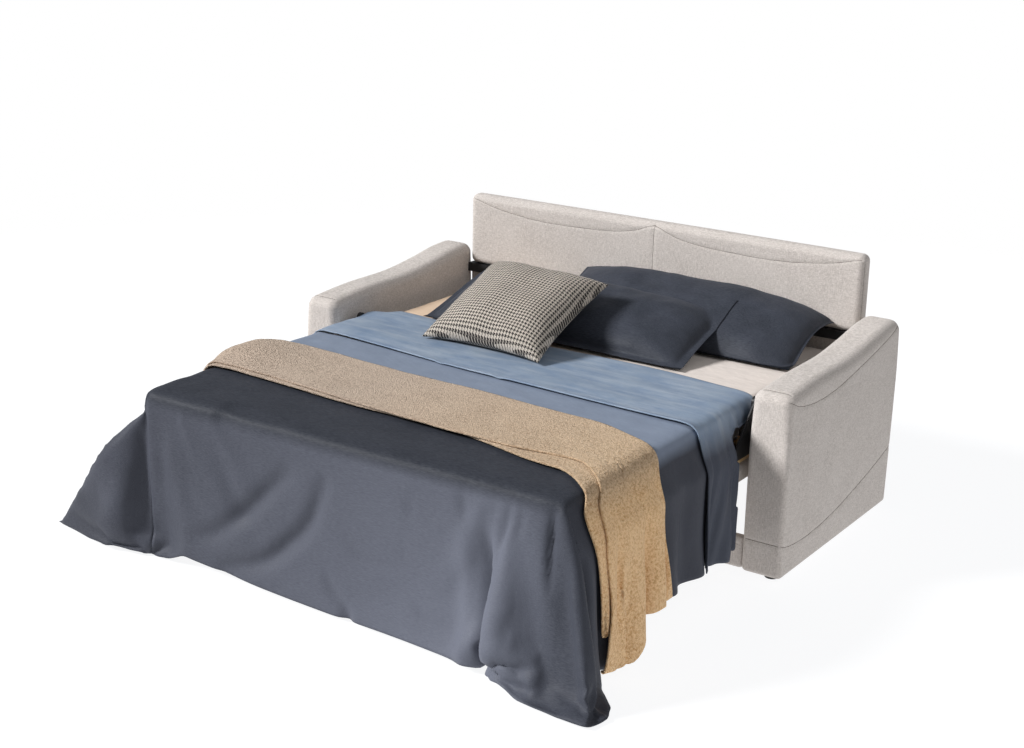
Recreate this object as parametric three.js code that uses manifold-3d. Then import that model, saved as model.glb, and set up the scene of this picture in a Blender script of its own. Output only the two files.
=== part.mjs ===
// Sleeper sofa opened out as a bed: upholstered arms and headboard, a three section deck that
// folds on lift arms, its mattress and its bedding.
// Millimetres. X runs across the sofa, Y from the plane of the arms' fronts to the back, Z up.
import * as THREE from 'three';
import { mergeVertices } from 'three/addons/utils/BufferGeometryUtils.js';
import Module from 'manifold-3d';

const wasm = await Module();
wasm.setup();

// Overall sizes and clearances
const WIDTH = 2000;
const GAP = 0.3;
const RUNNING_GAP = 0.6;
const OVERRUN = 2;
const WELD = 1;

// Arms and their feet
const ARM_THICK = 144;
const ARM_DEPTH = 875;
const ARM_BOTTOM = 35;
const ARM_FRONT_TOP = 660;
const ARM_MID_TOP = 674;
const ARM_REAR_TOP = 722;
const ARM_ROUND = 18;
const ARM_REAR_LEAN = 22;
const ARM_INNER = WIDTH / 2 - ARM_THICK;
const FOOT_RADIUS = 24;
const FOOT_INSET = 95;

// Headboard, back and apron
const HEADBOARD_SIDE_CLEARANCE = 3;
const HEADBOARD_SETBACK = 15;
const HEADBOARD_HALF_WIDTH = ARM_INNER - HEADBOARD_SIDE_CLEARANCE;
const HEADBOARD_FRONT = ARM_DEPTH - HEADBOARD_SETBACK;
const HEADBOARD_THICK = 70;
const HEADBOARD_BOTTOM = 645;
const HEADBOARD_TOP = 930;
const HEADBOARD_ROUND = 22;
const HEADBOARD_RAIL_HEIGHT = 34;
const HEADBOARD_RAIL_DEPTH = 40;
const BEAM_HEIGHT = 50;
const BEAM_DEPTH = 22;
const BEAM_BOTTOM = 60;
const REAR_PANEL_THICK = 20;
const REAR_PANEL_ROUND = 8;
const APRON_FRONT = 12;
const APRON_THICK = 34;
const APRON_BOTTOM = 36;
const APRON_TOP = 150;
const APRON_ROUND = 14;

// Deck sections: hinge places, rails and slats
const DECK_Z = 445;
const RAIL_HEIGHT = 30;
const RAIL_WIDTH = 25;
const RAIL_WALL = 2;
const RAIL_SIDE_CLEARANCE = 41;
const HEAD_SETBACK = 25;
const HEAD_LENGTH = 740;
const MID_LENGTH = 590;
const FOOT_LENGTH = 505;
const RAIL_OUTER = ARM_INNER - RAIL_SIDE_CLEARANCE;
const HEAD_END = ARM_DEPTH - HEAD_SETBACK;
const FOLD_Y = HEAD_END - HEAD_LENGTH;
const KNEE_Y = FOLD_Y - MID_LENGTH;
const FOOT_END = KNEE_Y - FOOT_LENGTH;
const SECTION_CLEARANCE = 5;
const KNEE_CLEARANCE = 35;
const SLAT_THICK = 8;
const SLAT_WIDTH = 62;
const HEAD_SLATS = 4;
const MID_SLATS = 3;
const FOOT_SLATS = 3;
const RAIL_INNER = RAIL_OUTER - RAIL_WIDTH;
const RAIL_BOTTOM = DECK_Z - RAIL_HEIGHT;

// Mattress
const MATTRESS_SIDE_INSET = 35;
const MATTRESS_HALF_WIDTH = RAIL_OUTER - MATTRESS_SIDE_INSET;
const MATTRESS_THICK = 130;
const MATTRESS_ROUND = 22;
const MATTRESS_TOP = DECK_Z + MATTRESS_THICK;
const FOLD_RISE = 10;
const FOLD_Z = MATTRESS_TOP + FOLD_RISE;

// Hinge plates, which lie in two lanes outside the rails, and their pins
const PLATE_THICK = 5;
const LANE_A = RAIL_OUTER + GAP;
const LANE_B = LANE_A + PLATE_THICK + RUNNING_GAP;
const PLATE_EYE = 18;
const KNEE_EYE = 15;
const PLATE_REACH = 135;
const KNEE_REACH = 120;
const PIN_RADIUS = 6;
const PIN_HEAD_RADIUS = 10;
const PIN_HEAD_THICK = 2.5;

// Lift arms and the base rails that carry them
const LIFT_LENGTH = 300;
const LIFT_DROP = 187.5;
const LIFT_REAR_INSET = 290;
const LIFT_SPACING = 370;
const LIFT_REAR_Y = HEAD_END - LIFT_REAR_INSET;
const LIFT_FRONT_Y = LIFT_REAR_Y - LIFT_SPACING;
const LIFT_WIDTH = 34;
const LIFT_THICK = 6;
const LIFT_STANDOFF = 23;
const LIFT_INNER = RAIL_OUTER + LIFT_STANDOFF;
const LIFT_OUTER = LIFT_INNER + LIFT_THICK;
const BASE_PLATE_STANDOFF = 4;
const BASE_PLATE_INNER = LIFT_OUTER + BASE_PLATE_STANDOFF;
const BASE_PLATE_HEIGHT = 70;
const BASE_PLATE_FRONT = 60;
const STUD_RADIUS = 9;
const STUD_CLEARANCE = 0.5;
const STUD_REACH = 10;
const STUD_TIP = RAIL_OUTER - STUD_REACH;
const LIFT_TOP_Z = DECK_Z - RAIL_HEIGHT / 2;
const LIFT_ROOT_Z = LIFT_TOP_Z - LIFT_DROP;
const LIFT_RUN = Math.sqrt(LIFT_LENGTH ** 2 - LIFT_DROP ** 2);

// Seat and back cushions, which hang under the opened deck
const SEAT_SIDE_CLEARANCE = 24;
const SEAT_REAR_REACH = 200;
const SEAT_FRONT_REACH = 228;
const SEAT_HALF_WIDTH = ARM_INNER - SEAT_SIDE_CLEARANCE;
const SEAT_REAR_Y = FOLD_Y + SEAT_REAR_REACH;
const SEAT_FRONT_Y = FOLD_Y - SEAT_FRONT_REACH;
const SEAT_THICK = 96;
const SEAT_ROUND = 30;
const BACK_SIDE_CLEARANCE = 51;
const BACK_REAR_REACH = 40;
const BACK_FRONT_INSET = 70;
const BACK_HALF_WIDTH = ARM_INNER - BACK_SIDE_CLEARANCE;
const BACK_REAR_Y = KNEE_Y - BACK_REAR_REACH;
const BACK_FRONT_Y = FOOT_END + BACK_FRONT_INSET;
const BACK_THICK = 320;
const BACK_ROUND = 60;
const BOARD_THICK = 12;
const BOARD_INSET = 8;
const CUSHION_SPLIT = 4;
const CUSHION_CROWN = 12;

// Folding legs
const LEG_INSET = 40;
const LEG_Y = FOOT_END + LEG_INSET;
const LEG_PIVOT_Z = 392;
const LEG_THICK = 24;
const LEG_TOP_DEPTH = 34;
const LEG_FLOOR_DEPTH = 24;
const LEG_INNER = RAIL_OUTER + RUNNING_GAP;
const LEG_EAR_THICK = 6;
const LEG_EAR_WIDTH = 44;

// Bedding: how far it hangs, its folds and its layers
const SHEET_THICK = 5;
const SHEET_STEP = 13.5;
const SHEET_LIFT = GAP;
const SPREAD_EDGE_CLEARANCE = 2;
const SPREAD_EDGE_X = MATTRESS_HALF_WIDTH + SPREAD_EDGE_CLEARANCE;
const SPREAD_EDGE_Y = FOOT_END - SPREAD_EDGE_CLEARANCE;
const SPREAD_ROUND = 50;
const SPREAD_SIDE_DROP = 455;
const SPREAD_FOOT_DROP = 553;
const SPREAD_NECK_Y = -40;
const SPREAD_NECK_RUN = 300;
const SPREAD_NECK_SPARE = 20;
const SPREAD_NECK_X = SPREAD_EDGE_X + SPREAD_NECK_SPARE;
const SPREAD_FLOOR = 14;
const DRAPE_WAVE = 11;
const DRAPE_PITCH = 210;
const SIDE_FLARE_SHARE = 0.14;
const FOOT_FLARE_SHARE = 0.03;
const LEFT_TIP_FLARE_SHARE = 0.66;
const RIGHT_TIP_FLARE_SHARE = 0.27;
const LEFT_TIP_TURN_SHARE = 0.05;
const RIGHT_TIP_TURN_SHARE = 0.3;
const BAND_REACH = 310;
const BAND_TUCK = 95;
const BAND_FOOT_Y = FOLD_Y - BAND_REACH;
const BAND_HEAD_Y = FOLD_Y + BAND_TUCK;
const THROW_HEAD_RISE = 85;
const THROW_FOOT_LEFT_DROP = 230;
const THROW_FOOT_RIGHT_DROP = 420;
const THROW_HEAD_Y = KNEE_Y + THROW_HEAD_RISE;
const THROW_FOOT_LEFT_Y = KNEE_Y - THROW_FOOT_LEFT_DROP;
const THROW_FOOT_RIGHT_Y = KNEE_Y - THROW_FOOT_RIGHT_DROP;
const THROW_SIDE_DROP = 430;
const FLAT_STEPS = 4;
const BEND_STEPS = 3;
const HANG_STEPS = 6;
const SPREAD_STEPS = 9;
const BAND_STEPS = 8;
const THROW_STEPS = 9;

// Pillows and scatter cushion
const PILLOW_LENGTH = 1040;
const PILLOW_WIDTH = 500;
const PILLOW_CROWN = 35;
const PILLOW_RIM = 10;
const DRAW_SHARE = 0.04;
const REAR_PILLOW_PLACE = [240, -242, 60.8];
const REAR_PILLOW_TILT = 0.15;
const FRONT_PILLOW_PLACE = [-70, -355, 131];
const FRONT_PILLOW_TILT = 0.3;
const SCATTER_SIZE = 470;
const SCATTER_CROWN = 58;
const SCATTER_RIM = 12;
const SCATTER_DRAW_SHARE = 0.09;
const SCATTER_PLACE = [-195, -610, 148];
const SCATTER_TILT = 0.42;
const SCATTER_TURN = 0.02;

const group = new THREE.Group();
const SIDES = [['left', -1], ['right', 1]];

// Materials
const material = (color, roughness, metalness) =>
  new THREE.MeshStandardMaterial({ color, roughness, metalness });
const UPHOLSTERY = material(0xafa8a0, 0.95, 0);
const CUSHION_CLOTH = material(0xb5a68f, 0.95, 0);
const FRAME_STEEL = material(0x2b2b2d, 0.45, 0.6);
const PIN_STEEL = material(0x8d8f92, 0.35, 0.9);
const SLAT_WOOD = material(0xc9a877, 0.6, 0);
const LEG_PAINT = material(0x2a2624, 0.5, 0);
const MATTRESS_CLOTH = material(0xe3d3c1, 0.9, 0);
const SLATE_SATIN = material(0x4a4e5c, 0.55, 0);
const BLUE_SATIN = material(0x6f88a6, 0.5, 0);
const TAN_TERRY = material(0xbca583, 0.98, 0);
const PILLOW_SATIN = material(0x2c2f39, 0.55, 0);
const HOUNDSTOOTH = material(0x8a857c, 0.9, 0);

// Closed solids from three.js geometry
function bare(geometry) {
  const copy = geometry.index ? geometry.toNonIndexed() : geometry.clone();
  copy.deleteAttribute('normal');
  copy.deleteAttribute('uv');
  return mergeVertices(copy);
}

function toSolid(geometry) {
  const clean = bare(geometry);
  return new wasm.Manifold(new wasm.Mesh({
    numProp: 3,
    vertProperties: new Float32Array(clean.attributes.position.array),
    triVerts: new Uint32Array(clean.index.array),
  }));
}

function toGeometry(solid) {
  const mesh = solid.getMesh();
  const geometry = new THREE.BufferGeometry();
  geometry.setAttribute('position', new THREE.Float32BufferAttribute(mesh.vertProperties, mesh.numProp));
  geometry.setIndex(Array.from(mesh.triVerts));
  return geometry;
}

function joined(first, ...rest) {
  return toGeometry(rest.reduce((sum, next) => sum.add(toSolid(next)), toSolid(first)));
}

function drilled(body, ...tools) {
  return toGeometry(tools.reduce((rest, tool) => rest.subtract(toSolid(tool)), toSolid(body)));
}

// Simple shapes given by the places of their faces; x values are mirrored by the side they are on
const span = (a, b) => [Math.min(a, b), Math.max(a, b)];

function block(xs, ys, zs) {
  const [x0, x1] = span(...xs);
  const [y0, y1] = span(...ys);
  const [z0, z1] = span(...zs);
  return new THREE.BoxGeometry(x1 - x0, y1 - y0, z1 - z0)
    .translate((x0 + x1) / 2, (y0 + y1) / 2, (z0 + z1) / 2);
}

function rodX(xs, y, z, radius, facets = 20) {
  const [x0, x1] = span(...xs);
  return new THREE.CylinderGeometry(radius, radius, x1 - x0, facets)
    .rotateZ(-Math.PI / 2)
    .translate((x0 + x1) / 2, y, z);
}

function rectangle(a, b) {
  const shape = new THREE.Shape();
  shape.moveTo(a[0], a[1]);
  shape.lineTo(b[0], a[1]);
  shape.lineTo(b[0], b[1]);
  shape.lineTo(a[0], b[1]);
  shape.closePath();
  return shape;
}

function tubeY(xs, ys, zs, wall) {
  const [x0, x1] = span(...xs);
  const [y0, y1] = span(...ys);
  const [z0, z1] = span(...zs);
  const section = rectangle([x0, z0], [x1, z1]);
  section.holes.push(rectangle([x0 + wall, z0 + wall], [x1 - wall, z1 - wall]));
  return new THREE.ExtrudeGeometry(section, { depth: y1 - y0, bevelEnabled: false })
    .rotateX(Math.PI / 2)
    .translate(0, y1, 0);
}

function tubeX(xs, ys, zs, wall) {
  const [x0, x1] = span(...xs);
  const [y0, y1] = span(...ys);
  const [z0, z1] = span(...zs);
  const section = rectangle([y0, z0], [y1, z1]);
  section.holes.push(rectangle([y0 + wall, z0 + wall], [y1 - wall, z1 - wall]));
  return extrudedX(section, [x0, x1]);
}

function extrudedX(section, xs) {
  const [x0, x1] = span(...xs);
  return new THREE.ExtrudeGeometry(section, { depth: x1 - x0, bevelEnabled: false, curveSegments: 8 })
    .rotateX(Math.PI / 2)
    .rotateZ(Math.PI / 2)
    .translate(x0, 0, 0);
}

// Outline of a plate that runs from an eye round a pin to a foot on a rail
function eyePlate(eye, radius, near, far, low, high) {
  const shape = new THREE.Shape();
  const turn = Math.sign(far - near);
  shape.moveTo(near, low);
  shape.lineTo(eye[0] - turn * radius, eye[1]);
  shape.absarc(eye[0], eye[1], radius, turn > 0 ? Math.PI : 0, turn > 0 ? 0 : Math.PI, turn > 0);
  shape.lineTo(far, high);
  shape.lineTo(far, low);
  shape.closePath();
  return shape;
}

// Padded block: round edges, a crown that bulges down and an optional reshaping of every point
function padded(half, round, parts, crown, reshape) {
  const geometry = bare(new THREE.BoxGeometry(2, 2, 2, ...parts));
  const place = geometry.attributes.position;
  const p = new THREE.Vector3();
  const core = new THREE.Vector3();
  for (let i = 0; i < place.count; i += 1) {
    p.fromBufferAttribute(place, i);
    const unit = p.clone();
    p.set(...unit.toArray().map((t) => Math.sin(t * Math.PI / 2))).multiply(half);
    core.set(...p.toArray().map((t, k) => {
      const reach = half.getComponent(k) - round;
      return THREE.MathUtils.clamp(t, -reach, reach);
    }));
    const out = p.clone().sub(core);
    p.copy(core).add(out.setLength(round));
    p.z += crown * Math.min(unit.z, 0) ** 3 * (1 - unit.x ** 2) * (1 - unit.y ** 2);
    p.copy(reshape(p, unit));
    place.setXYZ(i, ...p);
  }
  return geometry;
}

function paddedBetween(xs, ys, zs, round, parts, crown = 0, reshape = (p) => p) {
  const low = new THREE.Vector3(...[xs, ys, zs].map((s) => Math.min(...s)));
  const high = new THREE.Vector3(...[xs, ys, zs].map((s) => Math.max(...s)));
  low.z += crown;
  const half = high.clone().sub(low).multiplyScalar(0.5);
  const middle = high.add(low).multiplyScalar(0.5);
  return padded(half, round, parts, crown, reshape).translate(...middle);
}

// Knife edge cushion: crowned faces, a thin rim and sides drawn in between the corners
function knifeEdge(length, width, crown, rim, drawShare, steps = [14, 10]) {
  const [across, along] = steps;
  const faces = [];
  const points = [];
  const index = (face, i, j) => face * (across + 1) * (along + 1) + j * (across + 1) + i;
  for (const face of [1, -1]) {
    for (let j = 0; j <= along; j += 1) {
      for (let i = 0; i <= across; i += 1) {
        const u = Math.sin((i / across * 2 - 1) * Math.PI / 2);
        const v = Math.sin((j / along * 2 - 1) * Math.PI / 2);
        const swell = Math.sqrt((1 - u ** 4) * (1 - v ** 4));
        points.push(
          u * length / 2 * (1 - drawShare * u * u * (1 - v * v)),
          v * width / 2 * (1 - drawShare * v * v * (1 - u * u)),
          face * (rim / 2 + crown * swell),
        );
      }
    }
  }
  const quad = (a, b, c, d) => faces.push(a, b, c, a, c, d);
  for (let j = 0; j < along; j += 1) {
    for (let i = 0; i < across; i += 1) {
      quad(index(0, i, j), index(0, i + 1, j), index(0, i + 1, j + 1), index(0, i, j + 1));
      quad(index(1, i, j), index(1, i, j + 1), index(1, i + 1, j + 1), index(1, i + 1, j));
    }
  }
  for (let i = 0; i < across; i += 1) {
    quad(index(0, i, 0), index(1, i, 0), index(1, i + 1, 0), index(0, i + 1, 0));
    quad(index(0, i + 1, along), index(1, i + 1, along), index(1, i, along), index(0, i, along));
  }
  for (let j = 0; j < along; j += 1) {
    quad(index(0, 0, j + 1), index(1, 0, j + 1), index(1, 0, j), index(0, 0, j));
    quad(index(0, across, j), index(1, across, j), index(1, across, j + 1), index(0, across, j + 1));
  }
  const geometry = new THREE.BufferGeometry();
  geometry.setAttribute('position', new THREE.Float32BufferAttribute(points, 3));
  geometry.setIndex(faces);
  return geometry;
}

// Where a point of the cloth lies, u across and v along from the foot hem, both as flat lengths.
// Beyond the mattress edges the cloth turns down over a round edge and hangs in soft folds, and
// its corners stand out and are turned towards the sides, the left one furthest.
const TIP_SHARE = Math.atan2(SPREAD_FOOT_DROP, SPREAD_SIDE_DROP) / (Math.PI / 2);

function hung(u, v, lift) {
  const side = Math.max(Math.abs(u) - SPREAD_EDGE_X, 0);
  const foot = Math.max(SPREAD_EDGE_Y - v, 0);
  const reach = Math.hypot(side, foot);
  const radius = SPREAD_ROUND + lift;
  const arc = radius * Math.PI / 2;
  const bend = Math.min(reach / arc, 1) * Math.PI / 2;
  const fall = Math.max(reach - arc, 0);
  const turn = reach > 0 ? Math.atan2(foot, side) / (Math.PI / 2) : 0;
  const near = turn < TIP_SHARE ? turn / TIP_SHARE : (1 - turn) / (1 - TIP_SHARE);
  const [tipTurn, tipFlare] = u < 0
    ? [LEFT_TIP_TURN_SHARE, LEFT_TIP_FLARE_SHARE] : [RIGHT_TIP_TURN_SHARE, RIGHT_TIP_FLARE_SHARE];
  const angle = Math.PI / 2 * (turn < TIP_SHARE ? near * tipTurn : 1 - near * (1 - tipTurn));
  const edgeFlare = THREE.MathUtils.lerp(SIDE_FLARE_SHARE, FOOT_FLARE_SHARE, turn);
  const flare = THREE.MathUtils.lerp(edgeFlare, tipFlare, near ** 1.5);
  const along = side > foot ? v : u;
  const wave = DRAPE_WAVE * (1 - near) * Math.sin(along / DRAPE_PITCH * 2 * Math.PI)
    * Math.min(fall / DRAPE_PITCH, 1);
  const out = radius * Math.sin(bend) + fall * flare + wave;
  const down = radius * (1 - Math.cos(bend)) + fall * Math.sqrt(1 - flare * flare);
  return [
    Math.sign(u) * (Math.min(Math.abs(u), SPREAD_EDGE_X) + out * Math.cos(angle)),
    Math.max(v, SPREAD_EDGE_Y) - out * Math.sin(angle),
    Math.max(MATTRESS_TOP + lift - down, SPREAD_FLOOR + lift),
  ];
}

// Evenly spaced places from one value to another, without the first
const steps = (from, to, count) =>
  Array.from({ length: count }, (_, i) => from + (to - from) * (i + 1) / count);

// Closed sheet: an upper and a lower face, both hung over the bed, and the hem between them
function sheet(us, rows, lift) {
  const points = [];
  const faces = [];
  const [across, along] = [us.length - 1, rows.length - 1];
  const index = (face, i, j) => face * us.length * rows.length + j * us.length + i;
  for (const height of [lift + SHEET_THICK, lift]) {
    for (const row of rows) {
      for (const u of us) points.push(...hung(...row(u), height));
    }
  }
  const quad = (a, b, c, d) => faces.push(a, b, c, a, c, d);
  for (let j = 0; j < along; j += 1) {
    for (let i = 0; i < across; i += 1) {
      quad(index(0, i, j), index(0, i + 1, j), index(0, i + 1, j + 1), index(0, i, j + 1));
      quad(index(1, i, j), index(1, i, j + 1), index(1, i + 1, j + 1), index(1, i + 1, j));
    }
  }
  for (let i = 0; i < across; i += 1) {
    quad(index(0, i, 0), index(1, i, 0), index(1, i + 1, 0), index(0, i + 1, 0));
    quad(index(0, i + 1, along), index(1, i + 1, along), index(1, i, along), index(0, i, along));
  }
  for (let j = 0; j < along; j += 1) {
    quad(index(0, 0, j + 1), index(1, 0, j + 1), index(1, 0, j), index(0, 0, j));
    quad(index(0, across, j), index(1, across, j), index(1, across, j + 1), index(0, across, j + 1));
  }
  const geometry = new THREE.BufferGeometry();
  geometry.setAttribute('position', new THREE.Float32BufferAttribute(points, 3));
  geometry.setIndex(faces);
  return geometry;
}

function add(name, geometry, look) {
  const mesh = new THREE.Mesh(bare(geometry), look);
  mesh.name = name;
  group.add(mesh);
  return mesh;
}

// Arms: rounded blocks whose top dips in the middle and rises to the rear
function armTop(share) {
  const rise = THREE.MathUtils.smoothstep(share, 0, 0.25) * (ARM_MID_TOP - ARM_FRONT_TOP);
  const sweep = THREE.MathUtils.smoothstep(share, 0.45, 0.9) * (ARM_REAR_TOP - ARM_MID_TOP);
  return ARM_FRONT_TOP + rise + sweep;
}

function armSolid(side) {
  const half = (ARM_REAR_TOP - ARM_BOTTOM) / 2;
  const reshape = (p, unit) => {
    const level = (p.z + half) / (2 * half);
    const share = p.y / ARM_DEPTH + 0.5;
    const lean = ARM_REAR_LEAN * Math.max(unit.y, 0) * level;
    return p.set(p.x, p.y + lean, level * (armTop(share) - ARM_BOTTOM) - half);
  };
  return paddedBetween(
    [side * ARM_INNER, side * WIDTH / 2], [0, ARM_DEPTH], [ARM_BOTTOM, ARM_REAR_TOP],
    ARM_ROUND, [6, 16, 12], 0, reshape,
  );
}

function arms() {
  for (const [word, side] of SIDES) {
    add(`arm_${word}`, armSolid(side), UPHOLSTERY);
    const x = side * (WIDTH - ARM_THICK) / 2;
    for (const [end, y] of [['front', FOOT_INSET], ['rear', ARM_DEPTH - FOOT_INSET]]) {
      const foot = new THREE.CylinderGeometry(FOOT_RADIUS, FOOT_RADIUS, ARM_BOTTOM - GAP, 20)
        .rotateX(Math.PI / 2)
        .translate(x, y, (ARM_BOTTOM - GAP) / 2);
      add(`arm_foot_${end}_${word}`, foot, LEG_PAINT);
    }
  }
}

// Back: headboard on its rail, rear panel and crossbeam; apron at the front
function back() {
  const inside = ARM_INNER - GAP;
  const railTop = HEADBOARD_BOTTOM - GAP;
  const railBottom = railTop - HEADBOARD_RAIL_HEIGHT;
  const beamFront = HEAD_END + SECTION_CLEARANCE;
  add('headboard', paddedBetween(
    [-HEADBOARD_HALF_WIDTH, HEADBOARD_HALF_WIDTH],
    [HEADBOARD_FRONT, HEADBOARD_FRONT + HEADBOARD_THICK],
    [HEADBOARD_BOTTOM, HEADBOARD_TOP], HEADBOARD_ROUND, [16, 4, 8],
  ), UPHOLSTERY);
  add('headboard_rail', tubeX([-inside, inside], [beamFront, beamFront + HEADBOARD_RAIL_DEPTH],
    [railBottom, railTop], RAIL_WALL), FRAME_STEEL);
  add('rear_crossbeam', tubeX([-inside, inside], [beamFront, beamFront + BEAM_DEPTH],
    [BEAM_BOTTOM, BEAM_BOTTOM + BEAM_HEIGHT], RAIL_WALL), FRAME_STEEL);
  const panelFront = beamFront + BEAM_DEPTH + GAP;
  add('rear_panel', paddedBetween([-inside, inside], [panelFront, panelFront + REAR_PANEL_THICK],
    [BEAM_BOTTOM, railBottom - GAP], REAR_PANEL_ROUND, [12, 2, 6]), UPHOLSTERY);
  add('front_apron', paddedBetween([-inside, inside], [APRON_FRONT, APRON_FRONT + APRON_THICK],
    [APRON_BOTTOM, APRON_TOP], APRON_ROUND, [12, 4, 4]), UPHOLSTERY);
}

// Base rails: plates with a hole for each lift arm's root stud
const LIFTS = [['front', LIFT_FRONT_Y], ['rear', LIFT_REAR_Y]];
const HOLE_RADIUS = STUD_RADIUS + STUD_CLEARANCE;

function baseRails() {
  const low = LIFT_ROOT_Z - BASE_PLATE_HEIGHT / 2;
  const outer = ARM_INNER - GAP;
  for (const [word, side] of SIDES) {
    const plate = block([side * BASE_PLATE_INNER, side * outer], [BASE_PLATE_FRONT, HEAD_END],
      [low, low + BASE_PLATE_HEIGHT]);
    const holes = LIFTS.map(([, y]) => rodX(
      [side * (BASE_PLATE_INNER - OVERRUN), side * (outer + OVERRUN)], y + LIFT_RUN, LIFT_ROOT_Z,
      HOLE_RADIUS));
    add(`base_rail_${word}`, drilled(plate, ...holes), FRAME_STEEL);
  }
}

// Lift arm: a flat bar with round ends, a root stud that turns in the base rail and a top stud
// that turns in the head section's side frame
function liftArm(side, topY) {
  const shape = new THREE.Shape();
  const half = LIFT_WIDTH / 2;
  shape.absarc(0, 0, half, -Math.PI / 2, Math.PI / 2, false);
  shape.absarc(-LIFT_LENGTH, 0, half, Math.PI / 2, 3 * Math.PI / 2, false);
  shape.closePath();
  const bar = new THREE.ExtrudeGeometry(
    shape, { depth: LIFT_THICK, bevelEnabled: false, curveSegments: 10 })
    .rotateZ(-Math.atan2(LIFT_DROP, LIFT_RUN))
    .rotateX(Math.PI / 2)
    .rotateZ(Math.PI / 2)
    .translate(Math.min(side * LIFT_INNER, side * LIFT_OUTER), topY + LIFT_RUN, LIFT_ROOT_Z);
  const root = rodX([side * (LIFT_OUTER - WELD), side * (ARM_INNER - RUNNING_GAP)],
    topY + LIFT_RUN, LIFT_ROOT_Z, STUD_RADIUS);
  const top = rodX([side * (LIFT_INNER + WELD), side * STUD_TIP], topY, LIFT_TOP_Z, STUD_RADIUS);
  return joined(bar, root, top);
}

function liftArms() {
  for (const [word, side] of SIDES) {
    for (const [end, y] of LIFTS) add(`lift_arm_${end}_${word}`, liftArm(side, y), FRAME_STEEL);
  }
}

// Slats across a section, evenly spread between two places
function slats(name, count, from, to) {
  const reach = RAIL_INNER - GAP;
  for (let i = 0; i < count; i += 1) {
    const y = from + (to - from) * (i + 0.5) / count;
    add(`${name}_slat_${i + 1}`, block([-reach, reach], [y - SLAT_WIDTH / 2, y + SLAT_WIDTH / 2],
      [DECK_Z - GAP - SLAT_THICK, DECK_Z - GAP]), SLAT_WOOD);
  }
}

function endRail(name, y0, y1) {
  const reach = RAIL_INNER - GAP;
  add(name, tubeX([-reach, reach], [y0, y1], [RAIL_BOTTOM, DECK_Z - GAP], RAIL_WALL), FRAME_STEEL);
}

function sideTube(side, y0, y1) {
  return tubeY([side * RAIL_INNER, side * RAIL_OUTER], [y0, y1], [RAIL_BOTTOM, DECK_Z], RAIL_WALL);
}

// A plate in lane A is welded to its rail, one in lane B stands off it on a spacer
function plateOnRail(side, lane, eye, radius, near, far, high) {
  const inner = side * (lane === LANE_A ? RAIL_OUTER - WELD : LANE_B);
  const outer = side * (lane + PLATE_THICK);
  const plate = extrudedX(eyePlate(eye, radius, near, far, RAIL_BOTTOM, high), [inner, outer]);
  const hole = rodX([inner - side * OVERRUN, outer + side * OVERRUN], ...eye, PIN_RADIUS + GAP);
  const holed = drilled(plate, hole);
  if (lane === LANE_A) return holed;
  const spacer = block([side * (RAIL_OUTER - WELD), side * (LANE_B + WELD)],
    [near + (far - near) / 2, far], [RAIL_BOTTOM, DECK_Z]);
  return joined(holed, spacer);
}

function hingePin(name, side, y, z) {
  const outer = LANE_B + PLATE_THICK + GAP;
  const shank = rodX([side * RAIL_OUTER, side * (outer + WELD)], y, z, PIN_RADIUS);
  const head = rodX([side * outer, side * (outer + PIN_HEAD_THICK)], y, z, PIN_HEAD_RADIUS);
  add(name, joined(shank, head), PIN_STEEL);
}

const FOLD_EYE = [FOLD_Y, FOLD_Z];
const KNEE = [KNEE_Y, DECK_Z];

function mattress(name, y0, y1) {
  add(name, paddedBetween([-MATTRESS_HALF_WIDTH, MATTRESS_HALF_WIDTH], [y0, y1],
    [DECK_Z + GAP, MATTRESS_TOP], MATTRESS_ROUND, [10, 6, 4]), MATTRESS_CLOTH);
}

function headSection() {
  const front = FOLD_Y + SECTION_CLEARANCE;
  for (const [word, side] of SIDES) {
    const frame = joined(
      sideTube(side, front, HEAD_END),
      plateOnRail(side, LANE_A, FOLD_EYE, PLATE_EYE, front, front + PLATE_REACH, DECK_Z),
    );
    const holes = LIFTS.map(([, y]) => rodX(
      [side * (STUD_TIP - GAP), side * (LIFT_INNER - GAP)], y, LIFT_TOP_Z, HOLE_RADIUS));
    add(`head_side_frame_${word}`, drilled(frame, ...holes), FRAME_STEEL);
    hingePin(`fold_hinge_pin_${word}`, side, ...FOLD_EYE);
  }
  endRail('head_end_rail', HEAD_END - RAIL_WIDTH, HEAD_END);
  slats('head', HEAD_SLATS, front, HEAD_END - RAIL_WIDTH);
  mattress('mattress_head', front, HEAD_END - GAP);
}

// A plywood board under the rails and the two cushions that are fixed to it
function upholsteredBoard(name, halfWidth, ys, thick, round) {
  const [y0, y1] = span(...ys);
  const boardTop = RAIL_BOTTOM - GAP;
  const boardBottom = boardTop - BOARD_THICK;
  add(`${name}_board`, block([-halfWidth + BOARD_INSET, halfWidth - BOARD_INSET],
    [y0 + BOARD_INSET, y1 - BOARD_INSET], [boardBottom, boardTop]), SLAT_WOOD);
  for (const [word, side] of SIDES) {
    add(`${name}_cushion_${word}`, paddedBetween([side * CUSHION_SPLIT / 2, side * halfWidth], ys,
      [boardBottom - GAP, RAIL_BOTTOM - thick], round, [8, 6, 5], CUSHION_CROWN), CUSHION_CLOTH);
  }
}

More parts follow.
